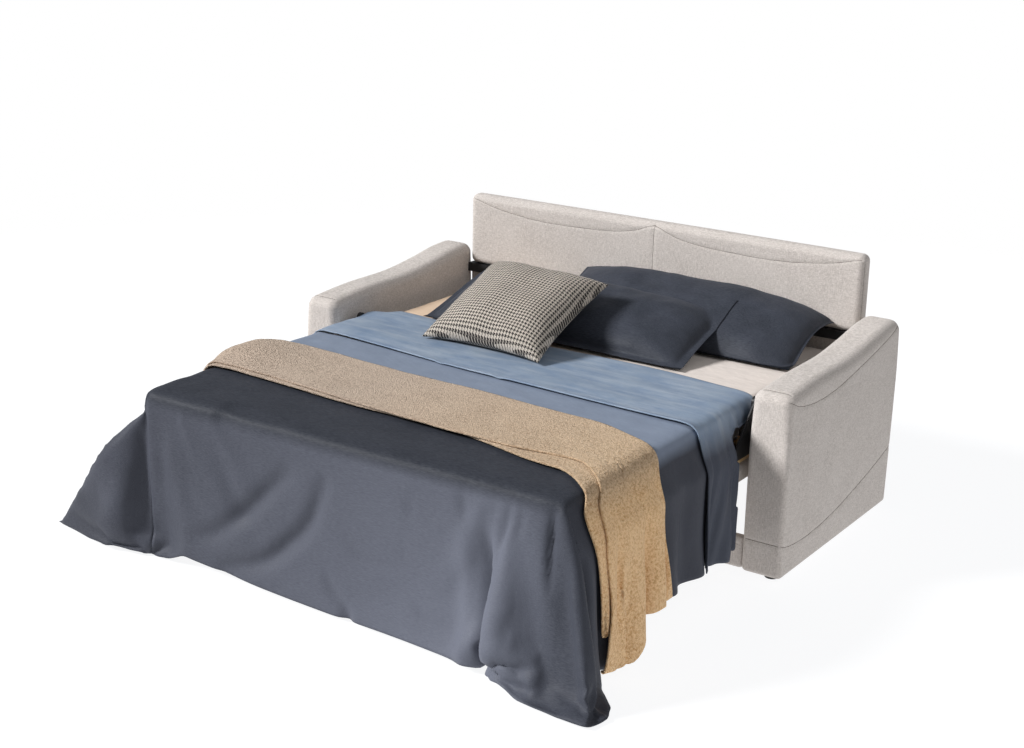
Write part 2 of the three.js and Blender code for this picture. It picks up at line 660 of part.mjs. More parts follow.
function midSection() {
  const rear = FOLD_Y - SECTION_CLEARANCE;
  const front = KNEE_Y + SECTION_CLEARANCE;
  for (const [word, side] of SIDES) {
    add(`mid_side_frame_${word}`, joined(
      sideTube(side, front, rear),
      plateOnRail(side, LANE_B, FOLD_EYE, PLATE_EYE, rear, rear - PLATE_REACH, DECK_Z),
      plateOnRail(side, LANE_A, KNEE, KNEE_EYE, front, front + KNEE_REACH, DECK_Z),
    ), FRAME_STEEL);
    hingePin(`knee_hinge_pin_${word}`, side, ...KNEE);
  }
  upholsteredBoard('seat', SEAT_HALF_WIDTH, [SEAT_FRONT_Y, SEAT_REAR_Y], SEAT_THICK, SEAT_ROUND);
  slats('mid', MID_SLATS, front, rear);
  mattress('mattress_mid', front, rear);
}

function footSection() {
  const rear = KNEE_Y - KNEE_CLEARANCE;
  for (const [word, side] of SIDES) {
    const ear = block([side * (RAIL_OUTER - LEG_EAR_THICK), side * RAIL_OUTER],
      [LEG_Y - LEG_EAR_WIDTH / 2, LEG_Y + LEG_EAR_WIDTH / 2],
      [LEG_PIVOT_Z - LEG_EAR_WIDTH / 2, RAIL_BOTTOM + WELD]);
    const stud = rodX([side * (RAIL_OUTER - WELD), side * (LEG_INNER + LEG_THICK + PIN_HEAD_THICK)],
      LEG_Y, LEG_PIVOT_Z, PIN_RADIUS);
    add(`foot_side_frame_${word}`, joined(
      sideTube(side, FOOT_END, rear),
      plateOnRail(side, LANE_B, KNEE, KNEE_EYE, rear, rear - KNEE_REACH, DECK_Z),
      ear, stud,
    ), FRAME_STEEL);
  }
  upholsteredBoard('back', BACK_HALF_WIDTH, [BACK_FRONT_Y, BACK_REAR_Y], BACK_THICK, BACK_ROUND);
  endRail('foot_end_rail', FOOT_END, FOOT_END + RAIL_WIDTH);
  slats('foot', FOOT_SLATS, FOOT_END + RAIL_WIDTH, rear);
  mattress('mattress_foot', FOOT_END, KNEE_Y - SECTION_CLEARANCE);
}

// Legs: tapered bars that turn on the studs of the foot section
function footLegs() {
  for (const [word, side] of SIDES) {
    const top = LEG_PIVOT_Z + LEG_TOP_DEPTH / 2;
    const shape = new THREE.Shape();
    shape.moveTo(LEG_Y - LEG_FLOOR_DEPTH / 2, 0);
    shape.lineTo(LEG_Y + LEG_FLOOR_DEPTH / 2, 0);
    shape.lineTo(LEG_Y + LEG_TOP_DEPTH / 2, LEG_PIVOT_Z);
    shape.absarc(LEG_Y, LEG_PIVOT_Z, top - LEG_PIVOT_Z, 0, Math.PI, false);
    shape.closePath();
    const hole = new THREE.Path();
    hole.absarc(LEG_Y, LEG_PIVOT_Z, PIN_RADIUS + STUD_CLEARANCE, 0, 2 * Math.PI, true);
    shape.holes.push(hole);
    add(`foot_leg_${word}`, extrudedX(shape, [side * LEG_INNER, side * (LEG_INNER + LEG_THICK)]),
      LEG_PAINT);
  }
}

// Bedspread, its turned down head end and the throw. Between the arms the cloth is drawn in.
const BEND = SPREAD_ROUND * Math.PI / 2;

function columns(drop) {
  const half = [
    ...steps(0, SPREAD_EDGE_X, FLAT_STEPS),
    ...steps(SPREAD_EDGE_X, SPREAD_EDGE_X + BEND, BEND_STEPS),
    ...steps(SPREAD_EDGE_X + BEND, SPREAD_EDGE_X + drop, HANG_STEPS),
  ];
  return [...half.map((u) => -u).reverse(), 0, ...half];
}

function drawnIn(u, v) {
  const open = THREE.MathUtils.smoothstep(SPREAD_NECK_Y - v, 0, SPREAD_NECK_RUN);
  const spare = Math.max(Math.abs(u) - SPREAD_NECK_X, 0);
  return Math.sign(u) * (Math.abs(u) - spare * (1 - open));
}

function bedding() {
  const hemY = SPREAD_EDGE_Y - SPREAD_FOOT_DROP;
  const straight = (v) => (u) => [drawnIn(u, v), v];
  const spreadRows = [
    hemY,
    ...steps(hemY, SPREAD_EDGE_Y - BEND, HANG_STEPS),
    ...steps(SPREAD_EDGE_Y - BEND, SPREAD_EDGE_Y, BEND_STEPS),
    ...steps(SPREAD_EDGE_Y, BAND_FOOT_Y - GAP, SPREAD_STEPS),
  ];
  const us = columns(SPREAD_SIDE_DROP);
  add('bedspread', sheet(us, spreadRows.map(straight), SHEET_LIFT), SLATE_SATIN);
  const bandRows = [BAND_FOOT_Y, ...steps(BAND_FOOT_Y, BAND_HEAD_Y, BAND_STEPS)];
  add('bedspread_turndown', sheet(us, bandRows.map(straight), SHEET_LIFT), BLUE_SATIN);
  const throwUs = columns(THROW_SIDE_DROP);
  const slant = (share) => (u) => {
    const across = (u / SPREAD_EDGE_X + 1) / 2;
    const place = THREE.MathUtils.clamp(across, 0, 1);
    const foot = THREE.MathUtils.lerp(THROW_FOOT_LEFT_Y, THROW_FOOT_RIGHT_Y, place);
    return [u, THREE.MathUtils.lerp(foot, THROW_HEAD_Y, share)];
  };
  const throwRows = [0, ...steps(0, 1, THROW_STEPS)].map(slant);
  add('throw', sheet(throwUs, throwRows, SHEET_LIFT + SHEET_STEP), TAN_TERRY);
}

// Pillows and the scatter cushion, tilted about X, turned about Z and set from the head end
function laid(name, geometry, place, tilt, turn, look) {
  const [x, y, z] = place;
  add(name, geometry.rotateX(tilt).rotateZ(turn).translate(x, HEAD_END + y, MATTRESS_TOP + z), look);
}

function pillows() {
  const pillow = () => knifeEdge(PILLOW_LENGTH, PILLOW_WIDTH, PILLOW_CROWN, PILLOW_RIM, DRAW_SHARE);
  laid('pillow_rear', pillow(), REAR_PILLOW_PLACE, REAR_PILLOW_TILT, 0, PILLOW_SATIN);
  laid('pillow_front', pillow(), FRONT_PILLOW_PLACE, FRONT_PILLOW_TILT, 0, PILLOW_SATIN);
  const scatter = knifeEdge(SCATTER_SIZE, SCATTER_SIZE, SCATTER_CROWN, SCATTER_RIM,
    SCATTER_DRAW_SHARE, [12, 12]);
  laid('scatter_cushion', scatter, SCATTER_PLACE, SCATTER_TILT, SCATTER_TURN, HOUNDSTOOTH);
}

arms();
back();
baseRails();
liftArms();
headSection();
midSection();
footSection();
footLegs();
bedding();
pillows();

// Origin: the middle of the whole, on the floor
const whole = new THREE.Box3().setFromObject(group);
const middle = whole.getCenter(new THREE.Vector3());
group.position.set(-middle.x, -middle.y, -whole.min.z);

export default group;
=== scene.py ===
"""Dresses the sleeper sofa's frame: upholstery, mattress, bedding, pillows and finishes.

Metres: X across from the sofa's middle, Y back from the plane of the arms' fronts, Z up.
piece() moves everything from there to the frame.
"""
from math import cos, pi, radians, sin

import bpy
import numpy as np
from mathutils import Matrix, Vector, noise
from mathutils.bvhtree import BVHTree


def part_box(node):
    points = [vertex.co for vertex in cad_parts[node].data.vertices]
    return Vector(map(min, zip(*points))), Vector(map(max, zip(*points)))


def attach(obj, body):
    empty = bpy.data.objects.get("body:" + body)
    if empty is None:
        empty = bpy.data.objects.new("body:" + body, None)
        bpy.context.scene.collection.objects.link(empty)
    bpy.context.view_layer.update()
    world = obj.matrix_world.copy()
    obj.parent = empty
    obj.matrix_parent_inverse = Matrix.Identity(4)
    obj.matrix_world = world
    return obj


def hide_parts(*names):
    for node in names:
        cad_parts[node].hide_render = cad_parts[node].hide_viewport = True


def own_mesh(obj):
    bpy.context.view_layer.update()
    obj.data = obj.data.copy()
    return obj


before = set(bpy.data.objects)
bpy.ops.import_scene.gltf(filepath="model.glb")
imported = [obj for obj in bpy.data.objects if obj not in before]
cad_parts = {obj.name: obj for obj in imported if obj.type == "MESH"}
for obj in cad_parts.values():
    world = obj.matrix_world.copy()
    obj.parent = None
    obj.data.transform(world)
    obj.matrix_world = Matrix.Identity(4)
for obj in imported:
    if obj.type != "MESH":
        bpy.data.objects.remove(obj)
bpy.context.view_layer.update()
SCENE = bpy.context.scene
SCENE.view_settings.view_transform = "Standard"

SIDES = (("left", -1), ("right", 1))
ORIGIN = Vector((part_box("headboard")[0].x / 2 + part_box("headboard")[1].x / 2,
                 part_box("arm_left")[0].y, 0))


def own_box(node):
    """A CAD node's box, measured from the sofa's own origin."""
    low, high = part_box(node)
    return low - ORIGIN, high - ORIGIN


ARM_INNER, ARM_OUTER = (corner.x for corner in own_box("arm_right"))
BED_TOP = own_box("mattress_mid")[1].z


# Camera and light, angles in degrees. The lights: name, azimuth, height, strength, angular size
CAMERA_PLACE = Vector((3.14, -4.80, 2.374))
CAMERA_TURN, CAMERA_DIP, CAMERA_ROLL = 33.69, 17.67, 1.1803
LENS = 61.17
LIGHTS = (("key", -48, 31, 4.5, 14), ("fill", 96, 35, 0.7, 60))


def make_camera():
    data = bpy.data.cameras.new("camera")
    data.sensor_width = 36
    data.lens = LENS
    data.clip_end = 60
    camera = bpy.data.objects.new("camera", data)
    camera.matrix_world = (
        Matrix.Translation(ORIGIN + CAMERA_PLACE)
        @ Matrix.Rotation(radians(CAMERA_TURN), 4, "Z")
        @ Matrix.Rotation(radians(90 - CAMERA_DIP), 4, "X")
        @ Matrix.Rotation(radians(CAMERA_ROLL), 4, "Z")
    )
    SCENE.collection.objects.link(camera)
    SCENE.camera = camera


def make_lights():
    for name, azimuth, height, strength, spread in LIGHTS:
        data = bpy.data.lights.new(name, "SUN")
        data.energy = strength
        data.angle = radians(spread)
        lamp = bpy.data.objects.new(name, data)
        lamp.rotation_euler = (radians(90 - height), 0, radians(azimuth))
        SCENE.collection.objects.link(lamp)


# Materials
def colour(text):
    """A linear colour from sRGB written as six hexadecimal digits."""
    parts = [int(text[i:i + 2], 16) / 255 for i in (0, 2, 4)]
    return tuple(p / 12.92 if p <= 0.04045 else ((p + 0.055) / 1.055) ** 2.4 for p in parts) + (1,)


class Shader:
    """A material's or the world's node tree with short ways to add the nodes used here."""

    def __init__(self, name, world=False):
        self.holder = (bpy.data.worlds if world else bpy.data.materials).new(name)
        self.holder.use_nodes = True
        self.tree = self.holder.node_tree
        self.tree.nodes.clear()
        self.output = self.tree.nodes.new("ShaderNodeOutput" + ("World" if world else "Material"))
        self.place = self.tree.nodes.new("ShaderNodeTexCoord")

    def node(self, kind, settings=None, **inputs):
        made = self.tree.nodes.new("ShaderNode" + kind)
        for key, value in (settings or {}).items():
            setattr(made, key, value)
        for key, value in inputs.items():
            self.put(made.inputs[key.replace("_", " ")], value)
        return made

    def put(self, socket, value):
        if isinstance(value, bpy.types.NodeSocket):
            self.tree.links.new(value, socket)
        else:
            socket.default_value = colour(value) if isinstance(value, str) else value

    def axis(self, k):
        """One coordinate of the place on the frame."""
        return self.node("SeparateXYZ", Vector=self.place.outputs["Object"]).outputs[k]

    def math(self, operation, *values):
        made = self.tree.nodes.new("ShaderNodeMath")
        made.operation = operation
        for socket, value in zip(made.inputs, values):
            self.put(socket, value)
        return made.outputs[0]

    def add(self, first, second):
        return self.math("ADD", first, second)

    def times(self, first, second):
        return self.math("MULTIPLY", first, second)

    def noise(self, scale, detail, where=None, roughness=0.5):
        return self.node(
            "TexNoise", Vector=where or self.place.outputs["Object"],
            Scale=scale, Detail=detail, Roughness=roughness).outputs["Fac"]

    def stretched(self, factors):
        made = self.node("VectorMath", {"operation": "MULTIPLY"})
        self.put(made.inputs[0], self.place.outputs["Object"])
        self.put(made.inputs[1], factors)
        return made.outputs[0]

    def range(self, value, low, high, to_low=0.0, to_high=1.0):
        return self.node("MapRange", Value=value, From_Min=low, From_Max=high,
                         To_Min=to_low, To_Max=to_high).outputs[0]

    def mix(self, share, first, second):
        made = self.tree.nodes.new("ShaderNodeMix")
        made.data_type = "RGBA"
        self.put(made.inputs["Factor"], share)
        self.put(made.inputs["A"], first)
        self.put(made.inputs["B"], second)
        return made.outputs["Result"]

    def bump(self, height, distance, strength):
        return self.node("Bump", Height=height, Distance=distance, Strength=strength).outputs[0]

    def blend(self, share, first, second):
        """Mixes two shader nodes."""
        made = self.node("MixShader")
        for socket, value in zip(made.inputs, (share, first.outputs[0], second.outputs[0])):
            self.put(socket, value)
        return made

    def show(self, shader):
        self.tree.links.new(shader.outputs[0], self.output.inputs["Surface"])
        return self.holder

    def finish(self, base, roughness, normal, sheen=0.0, sheen_colour=(1, 1, 1, 1),
               metallic=0.0, specular=0.5):
        return self.show(self.node(
            "BsdfPrincipled", Base_Color=base, Roughness=roughness, Normal=normal,
            Metallic=metallic, Specular_IOR_Level=specular, Sheen_Weight=sheen,
            Sheen_Roughness=0.4, Sheen_Tint=sheen_colour))


def woven(name, light, middle, dark, pitch):
    """Melange weave: pale and dark yarns crossing at the given pitch, with uneven patches."""
    s = Shader(name)
    turn = 2 * pi / pitch
    waves = [s.math("SINE", s.times(s.axis(k), turn)) for k in range(3)]
    weave = s.add(s.times(waves[0], waves[1]), s.times(s.add(waves[0], waves[1]), waves[2]))
    fleck = s.noise(420, 2, roughness=0.7)
    yarn_a = s.noise(1.0, 1, s.stretched((90, 90, 700)))
    yarn_b = s.noise(1.0, 1, s.stretched((700, 700, 90)))
    yarns = s.add(yarn_a, yarn_b)
    patches = s.noise(7, 3)
    base = s.mix(s.range(yarns, 0.8, 1.2), dark, light)
    base = s.mix(s.range(fleck, 0.38, 0.68), base, middle)
    base = s.mix(s.range(patches, 0.3, 0.7, 0.0, 0.22), base, light)
    height = s.add(s.times(weave, 0.12), s.add(yarns, fleck))
    return s.finish(base, 0.92, s.bump(height, 0.0009, 0.7), sheen=0.18, specular=0.25)


def sateen(name, light, dark, roughness=0.58, gloss=0.2, zones=None):
    """Smooth cotton sateen: fine crosswise threads, soft creases with painted shade in their
    hollows, and a quiet sheen.
    """
    s = Shader(name)
    threads = s.noise(1.0, 1, s.stretched((60, 900, 900)))
    creases = s.noise(1.0, 3, s.stretched((7, 12, 7)), 0.6)
    fine = s.noise(60, 3, roughness=0.6)
    # Painted shade: the colour darkens where the creases' bump sinks.
    base = s.mix(s.range(creases, 0.3, 0.7), dark, light)
    if zones:
        base = zones(s, base)
    base = s.mix(s.range(threads, 0.3, 0.7, 0.0, 0.05), base, "c8d2de")
    height = s.add(s.times(creases, 6.0), s.times(fine, 0.3))
    return s.finish(base, roughness, s.bump(height, 0.0016, 0.5), sheen=gloss / 4,
                    sheen_colour=(0.62, 0.70, 0.85, 1), specular=gloss)


def spread_colour_and_painted_light(s, base):
    """The bedspread is dark slate, greyer where it hangs as painted sheen, and paler blue on top
    past the throw.
    """
    x, y, z = (s.axis(k) for k in range(3))
    # Painted sheen: where it hangs the cloth is coloured greyer and lighter than on top.
    hangs = s.range(z, BED_TOP - 0.012, BED_TOP - 0.05)
    base = s.mix(hangs, base, s.mix(s.noise(5, 3), "33343c", "3d3f48"))
    # The foot face: painted light that brightens it from left to right, paler patches, and painted
    # shade on the right corner's cone.
    front = s.range(y, ORIGIN.y - 0.93, ORIGIN.y - 1.02)
    across = s.range(x, ORIGIN.x - 1.0, ORIGIN.x + 0.7)
    face = s.mix(across, "2b2c34", "60636f")
    face = s.mix(s.range(s.noise(4, 3), 0.3, 0.7, 0.0, 0.4), face, "4c4e59")
    face = s.mix(s.range(x, ORIGIN.x + 0.58, ORIGIN.x + 0.80), face, "34363f")
    base = s.mix(s.times(hangs, front), base, face)
    # Past the throw the top is paler blue, the cloth's own colour; its hanging sides there stay
    # slate as painted shade.
    share = s.range(y, ORIGIN.y - 0.62, ORIGIN.y - 0.58)
    top = s.times(share, s.range(z, BED_TOP - 0.05, BED_TOP - 0.005))
    pale = s.mix(s.noise(14, 3), "727c8e", "828d9f")
    return s.mix(top, base, pale)


def turndown_painted_light(s, base):
    """The turned down end is blue on the bed, with painted highlights along its folds, and deeper
    where it hangs as painted shade.
    """
    z = s.axis(2)
    # Painted highlights: paler streaks that run along the folds.
    folds = s.noise(1.0, 3, s.stretched((5, 26, 5)), 0.6)
    base = s.mix(s.range(folds, 0.45, 0.75, 0.0, 0.6), base, "a3adb9")
    # Painted shade: a darker slate blue where the end hangs.
    return s.mix(s.range(z, BED_TOP - 0.09, BED_TOP - 0.005), "3a3e4a", base)


def terry(name):
    """Nubby terry towelling: loops of two tans, darker between the loops as painted shade, and
    brighter, more orange where it hangs as painted light.
    """
    s = Shader(name)
    loops = s.node("TexVoronoi", Vector=s.place.outputs["Object"], Scale=240.0).outputs["Distance"]
    grain = s.noise(120, 4, roughness=0.75)
    patches = s.noise(9, 3)
    # Painted light: where the throw hangs its tans are brighter and more orange than where it lies
    # on top.
    lies = s.range(s.axis(2), BED_TOP - 0.07, BED_TOP)
    across = s.range(s.axis(0), ORIGIN.x - 0.2, ORIGIN.x + 0.8)
    pale = s.mix(lies, "ffdcae", s.mix(across, "d0bcaa", "dcc09e"))
    deep = s.mix(lies, "c8945c", s.mix(across, "8f7c6e", "967656"))
    base = s.mix(s.range(grain, 0.36, 0.56), deep, pale)
    # Painted shade between the loops.
    base = s.mix(s.range(loops, 0.1, 0.8, 0.0, 0.35), base, deep)
    base = s.mix(s.range(patches, 0.3, 0.7, 0.0, 0.3), base, pale)
    height = s.add(s.times(loops, -1.2), s.times(grain, 2.2))
    return s.finish(base, 0.97, s.bump(height, 0.003, 0.9), sheen=0.35,
                    sheen_colour=(0.95, 0.85, 0.7, 1), specular=0.1)


def knit_cover(name):
    """The mattress's stretch cover: cream to peach, with a faint quilted relief."""
    s = Shader(name)
    patches = s.noise(2.6, 3)
    quilt = s.noise(1.0, 2, s.stretched((16, 26, 16)))
    fine = s.noise(420, 2)
    across = s.range(s.axis(0), ORIGIN.x - 0.3, ORIGIN.x + 0.5)
    share = s.add(across, s.times(patches, 0.3))
    base = s.mix(s.range(share, 0.3, 0.9), "d9bea3", "d8cfc9")
    base = s.mix(s.range(fine, 0.3, 0.7, 0.0, 0.15), base, "c9b29a")
    height = s.add(s.times(quilt, 5.0), s.times(fine, 0.2))
    return s.finish(base, 0.85, s.bump(height, 0.0012, 0.7), sheen=0.15, specular=0.25)


def houndstooth(name, check):
    """Houndstooth from its weave: four dark and four pale yarns each way in a 2/2 twill."""
    s = Shader(name)
    uv = s.node("SeparateXYZ", Vector=s.place.outputs["UV"]).outputs
    yarn = [s.math("FLOOR", s.times(axis, 8 / check)) for axis in uv[:2]]

    def below(value, cycle, limit):
        return s.math("LESS_THAN", s.math("FLOORED_MODULO", value, cycle), limit)

    warp, weft = below(yarn[0], 8.0, 3.5), below(yarn[1], 8.0, 3.5)
    over = below(s.add(yarn[0], yarn[1]), 4.0, 1.5)
    dark = s.add(s.times(over, warp), s.times(s.math("SUBTRACT", 1.0, over), weft))
    fleck = s.noise(900, 2)
    pale = s.mix(fleck, "b6ada1", "cec5ba")
    deep = s.mix(fleck, "1e1b1b", "3a3634")
    base = s.mix(dark, pale, deep)
    height = s.add(over, fleck)
    return s.finish(base, 0.85, s.bump(height, 0.0006, 0.6), sheen=0.1, specular=0.25)


def lacquered(name, base, fleck, roughness, metallic=0.0):
    """Powder coat, lacquer or moulded plastic: an orange peel skin with faint dust and wear."""
    s = Shader(name)
    dust = s.noise(35, 4, roughness=0.65)
    tone = s.mix(s.range(dust, 0.4, 0.8, 0.0, 0.5), base, fleck)
    rough = s.range(dust, 0.3, 0.7, roughness - 0.06, roughness + 0.08)
    return s.finish(tone, rough, s.bump(s.noise(900, 2), 0.0003, 0.5), metallic=metallic)


def wood(name, light, dark):
    """Planed wood with its grain drawn out across the sofa."""
    s = Shader(name)
    stretch = (2.2, 46.0, 46.0)
    grain = s.noise(1.0, 6, s.stretched(stretch), 0.6)
    pores = s.noise(1.0, 2, s.stretched([f * 9 for f in stretch]))
    base = s.mix(s.range(grain, 0.35, 0.65), dark, light)
    base = s.mix(s.range(pores, 0.55, 0.75, 0.0, 0.5), base, dark)
    height = s.add(grain, s.times(pores, 0.4))
    return s.finish(base, 0.55, s.bump(height, 0.0004, 0.5))


UPHOLSTERY = woven("greige weave", "dad3ce", "c2bab4", "a29a94", 0.0016)
CUSHION = woven("cushion weave", "d5cec8", "bdb5af", "9d958f", 0.0016)
# The seam thread is a real seam, coloured darker than the cloth as painted shade in its groove.
SEAM_THREAD_AND_SHADE = lacquered("seam thread", "6d655e", "7b736b", 0.9)
SLATE = sateen("slate sateen", "2b2d35", "24262e", gloss=0.12, zones=spread_colour_and_painted_light)
BLUE = sateen("blue sateen", "8896a7", "6f829b", 0.5, zones=turndown_painted_light)
DARK = sateen("dark sateen", "2f323c", "252831", 0.6, 0.16)
TERRY = terry("tan terry")
COVER = knit_cover("stretch cover")
CHECK = houndstooth("houndstooth", 0.0125)
STEEL = lacquered("powder coated steel", "242426", "3a3a3c", 0.42, 0.3)
PINS = lacquered("bright zinc", "9a9b9e", "86878a", 0.32, 0.9)
LEG = lacquered("black lacquer", "211d1c", "332e2c", 0.4)
FOOT = lacquered("moulded foot", "1c1b1b", "2c2b2b", 0.5)
SLAT = wood("birch slat", "d8bd90", "c09c68")


# Mesh helpers
def mesh_object(name, points, faces):
    """A bare mesh, for a piece, the stage or the simulation."""
    mesh = bpy.data.meshes.new(name)
    mesh.from_pydata([tuple(p) for p in points], [], faces)
    obj = bpy.data.objects.new(name, mesh)
    SCENE.collection.objects.link(obj)
    return obj


def piece(name, points, faces, finish, body, slot, replaced=(), uv=None):
    """A smooth mesh piece that rides on a body and stands for its CAD nodes."""
    obj = mesh_object(name, np.asarray(points, float) + np.array(ORIGIN), faces)
    mesh = obj.data
    if uv is not None:
        layer = mesh.uv_layers.new(name="flat")
        corners = np.empty(len(mesh.loops), int)
        mesh.loops.foreach_get("vertex_index", corners)
        layer.data.foreach_set("uv", np.asarray(uv, float)[corners].ravel())
    mesh.polygons.foreach_set("use_smooth", [True] * len(mesh.polygons))
    mesh.materials.append(finish)
    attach(obj, body)
    if replaced:
        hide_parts(*replaced)
    return obj


def bake(obj, smooth=True, thickness=0):
    """Makes a mesh finer, gives a sheet its thickness and applies both."""
    if smooth:
        finer = obj.modifiers.new("smooth", "SUBSURF")
        finer.levels = finer.render_levels = 1
    if thickness:
        solid = obj.modifiers.new("thickness", "SOLIDIFY")
        solid.thickness = thickness
        solid.offset = 1
    graph = bpy.context.evaluated_depsgraph_get()
    mesh = bpy.data.meshes.new_from_object(obj.evaluated_get(graph))
    obj.modifiers.clear()
    obj.data = mesh


def normals_of(points, faces):
    mesh = bpy.data.meshes.new("probe")
    mesh.from_pydata([tuple(p) for p in points], [], faces)
    found = np.empty(len(points) * 3)
    mesh.vertex_normals.foreach_get("vector", found)
    bpy.data.meshes.remove(mesh)
    return found.reshape(-1, 3)


def noise_at(x, y, z):
    """Smooth noise at each place."""
    x, y, z = np.broadcast_arrays(x, y, z)
    found = [noise.noise(Vector(place)) for place in zip(x.flat, y.flat, z.flat)]
    return np.array(found).reshape(x.shape)


def smoothstep(low, high, value):
    share = np.clip((value - low) / (high - low), 0, 1)
    return share * share * (3 - 2 * share)


def shell(counts):
    """Places on the surface of a box, from -1 to 1 each way, and the quads between them."""
    index, quads = {}, []
    for axis in range(3):
        a, b = (axis + 1) % 3, (axis + 2) % 3
        for end in (0, counts[axis]):
            for i in range(counts[a]):
                for j in range(counts[b]):
                    corners = []
                    for di, dj in ((0, 0), (1, 0), (1, 1), (0, 1)):
                        cell = [0, 0, 0]
                        cell[axis], cell[a], cell[b] = end, i + di, j + dj
                        corners.append(index.setdefault(tuple(cell), len(index)))
                    quads.append(corners if end else corners[::-1])
    return np.array(list(index), float) / counts * 2 - 1, quads


def padded(units, low, high, edge, crown=(0, 0, 0), ease=0.6):
    """Rounds a box of unit places: edge is its edges' radius, crown how far its faces swell."""
    low, high = np.asarray(low, float), np.asarray(high, float)
    half, middle = (high - low) / 2, (high + low) / 2
    edge = np.broadcast_to(edge, len(units))[:, None]
    points = ((1 - ease) * units + ease * np.sin(units * pi / 2)) * half
    core = np.clip(points, edge - half, half - edge)
    out = points - core
    out *= edge / np.linalg.norm(out, axis=1, keepdims=True)
    rise = np.stack([
        np.sign(units[:, k]) * np.abs(units[:, k]) ** 6 * crown[k]
        * (1 - units[:, k - 1] ** 2) * (1 - units[:, k - 2] ** 2) for k in range(3)], axis=1)
    return middle + core + out + rise


def spline(knots, count):
    """Evenly parted points on a smooth curve through the knots."""
    knots = np.asarray(knots, float)
    ends = np.vstack([2 * knots[0] - knots[1], knots, 2 * knots[-1] - knots[-2]])
    points = []
    for share in np.linspace(0, len(knots) - 1 - 1e-9, count):
        k = int(share)
        t = share - k
        a, b, c, d = ends[k:k + 4]
        points.append(0.5 * (2 * b + (c - a) * t + (2 * a - 5 * b + 4 * c - d) * t * t
                             + (3 * b - a - 3 * c + d) * t ** 3))
    return np.array(points)


def onto(points, faces, paths):
    """The paths moved to the nearest places on a surface."""
    tree = BVHTree.FromPolygons([tuple(p) for p in points], faces)
    return [np.array([tree.find_nearest(Vector(p))[0] for p in path]) for path in paths]


def sewn(points, faces, paths, depth, width):
    """Presses the seams into a padded surface and returns it with the seams' places on it."""
    normals = normals_of(points, faces)
    pressed = points.copy()
    seams = onto(points, faces, paths)
    for path in seams:
        near = np.full(len(points), np.inf)
        for place in path:
            near = np.minimum(near, np.linalg.norm(points - place, axis=1))
        pressed -= normals * (depth * np.exp(-(near / width) ** 2))[:, None]
    return pressed, onto(pressed, faces, seams)


def thread(name, paths, radius, finish, body, slot, sides=6):
    """A thin round thread, piping or welt along each path."""
    points, faces = [], []
    for path in paths:
        start = len(points)
        for i, place in enumerate(path):
            ahead = Vector(path[min(i + 1, len(path) - 1)] - path[max(i - 1, 0)]).normalized()
            across = ahead.orthogonal().normalized()
            turn = ahead.cross(across)
            points += [Vector(place) + radius * (cos(2 * pi * k / sides) * across
                                                 + sin(2 * pi * k / sides) * turn)
                       for k in range(sides)]
        for i in range(len(path) - 1):
            a = start + i * sides
            faces += [(a + k, a + (k + 1) % sides, a + sides + (k + 1) % sides, a + sides + k)
                      for k in range(sides)]
        faces += [tuple(range(start + sides - 1, start - 1, -1)),
                  tuple(range(len(points) - sides, len(points)))]
    piece(name, points, faces, finish, body, slot)


def cover(node, points, faces, paths, depth, width, radius):
    """The sewn cover of a fixed part, with its seam thread, coloured dark as painted shade in the
    seam's groove.
    """
    points, seams = sewn(points, faces, paths, depth, width)
    piece(f"{node}_cover", points, faces, UPHOLSTERY, "root", "upholstery", [node])
    thread(f"{node}_seams", seams, radius, SEAM_THREAD_AND_SHADE, "root", "upholstery")


def pad(node, points, faces, paths, edging, radius, finish, body, slot):
    """A soft pad that rides on its section, edged with its own cloth."""
    points, seams = sewn(points, faces, paths, 0.002, 0.006)
    made = piece(f"{node}_pad", points, faces, finish, body, slot, [node])
    thread(f"{node}_{edging}", seams, radius, finish, body, slot)
    return made


# Arms. The curves run from front to back, as places in Y and Z
ARM_BOTTOM = own_box("arm_right")[0].z
ARM_LENGTH = 0.875
ARM_TOP = 0.722
ARM_LEAN = 0.022
ARM_EDGE = 0.018
ARM_TOPS = [(0, .660), (.22, .674), (.45, .676), (.62, .694), (.76, .716), (.875, .722)]
UPPER_SEAM = [(0.004, .648), (.05, .622), (.12, .606), (.22, .598), (.34, .602), (.46, .618),
              (.58, .638), (.70, .660), (.80, .682), (.875, .706)]
LOWER_SEAM = [(0.0, .153), (.06, .140), (.16, .132), (.28, .136), (.42, .152), (.56, .178),
              (.70, .208), (.82, .238), (.89, .256)]


def arm_surface(side):
    units, faces = shell((22, 150, 112))
    level = (units[:, 2] + 1) / 2
    edge = ARM_EDGE + 0.022 * smoothstep(0.6, 1.0, level)
    low = (ARM_INNER, 0, ARM_BOTTOM)
    high = (ARM_OUTER, ARM_LENGTH, ARM_TOP)
    points = padded(units, low, high, edge, ease=0.5)
    level = (points[:, 2] - low[2]) / (high[2] - low[2])
    top = np.interp(points[:, 1], *spline(ARM_TOPS, 60).T)
    points[:, 2] = low[2] + level * (top - low[2])
    points[:, 1] += ARM_LEAN * np.clip(units[:, 1], 0, 1) * level
    bulge = (1 - units[:, 1] ** 2) * (1 - units[:, 2] ** 2)
    points[:, 0] += 0.004 * bulge * np.clip(units[:, 0], 0, 1) ** 3
    if side < 0:
        points[:, 0] *= -1
        faces = [f[::-1] for f in faces]
    return points, faces


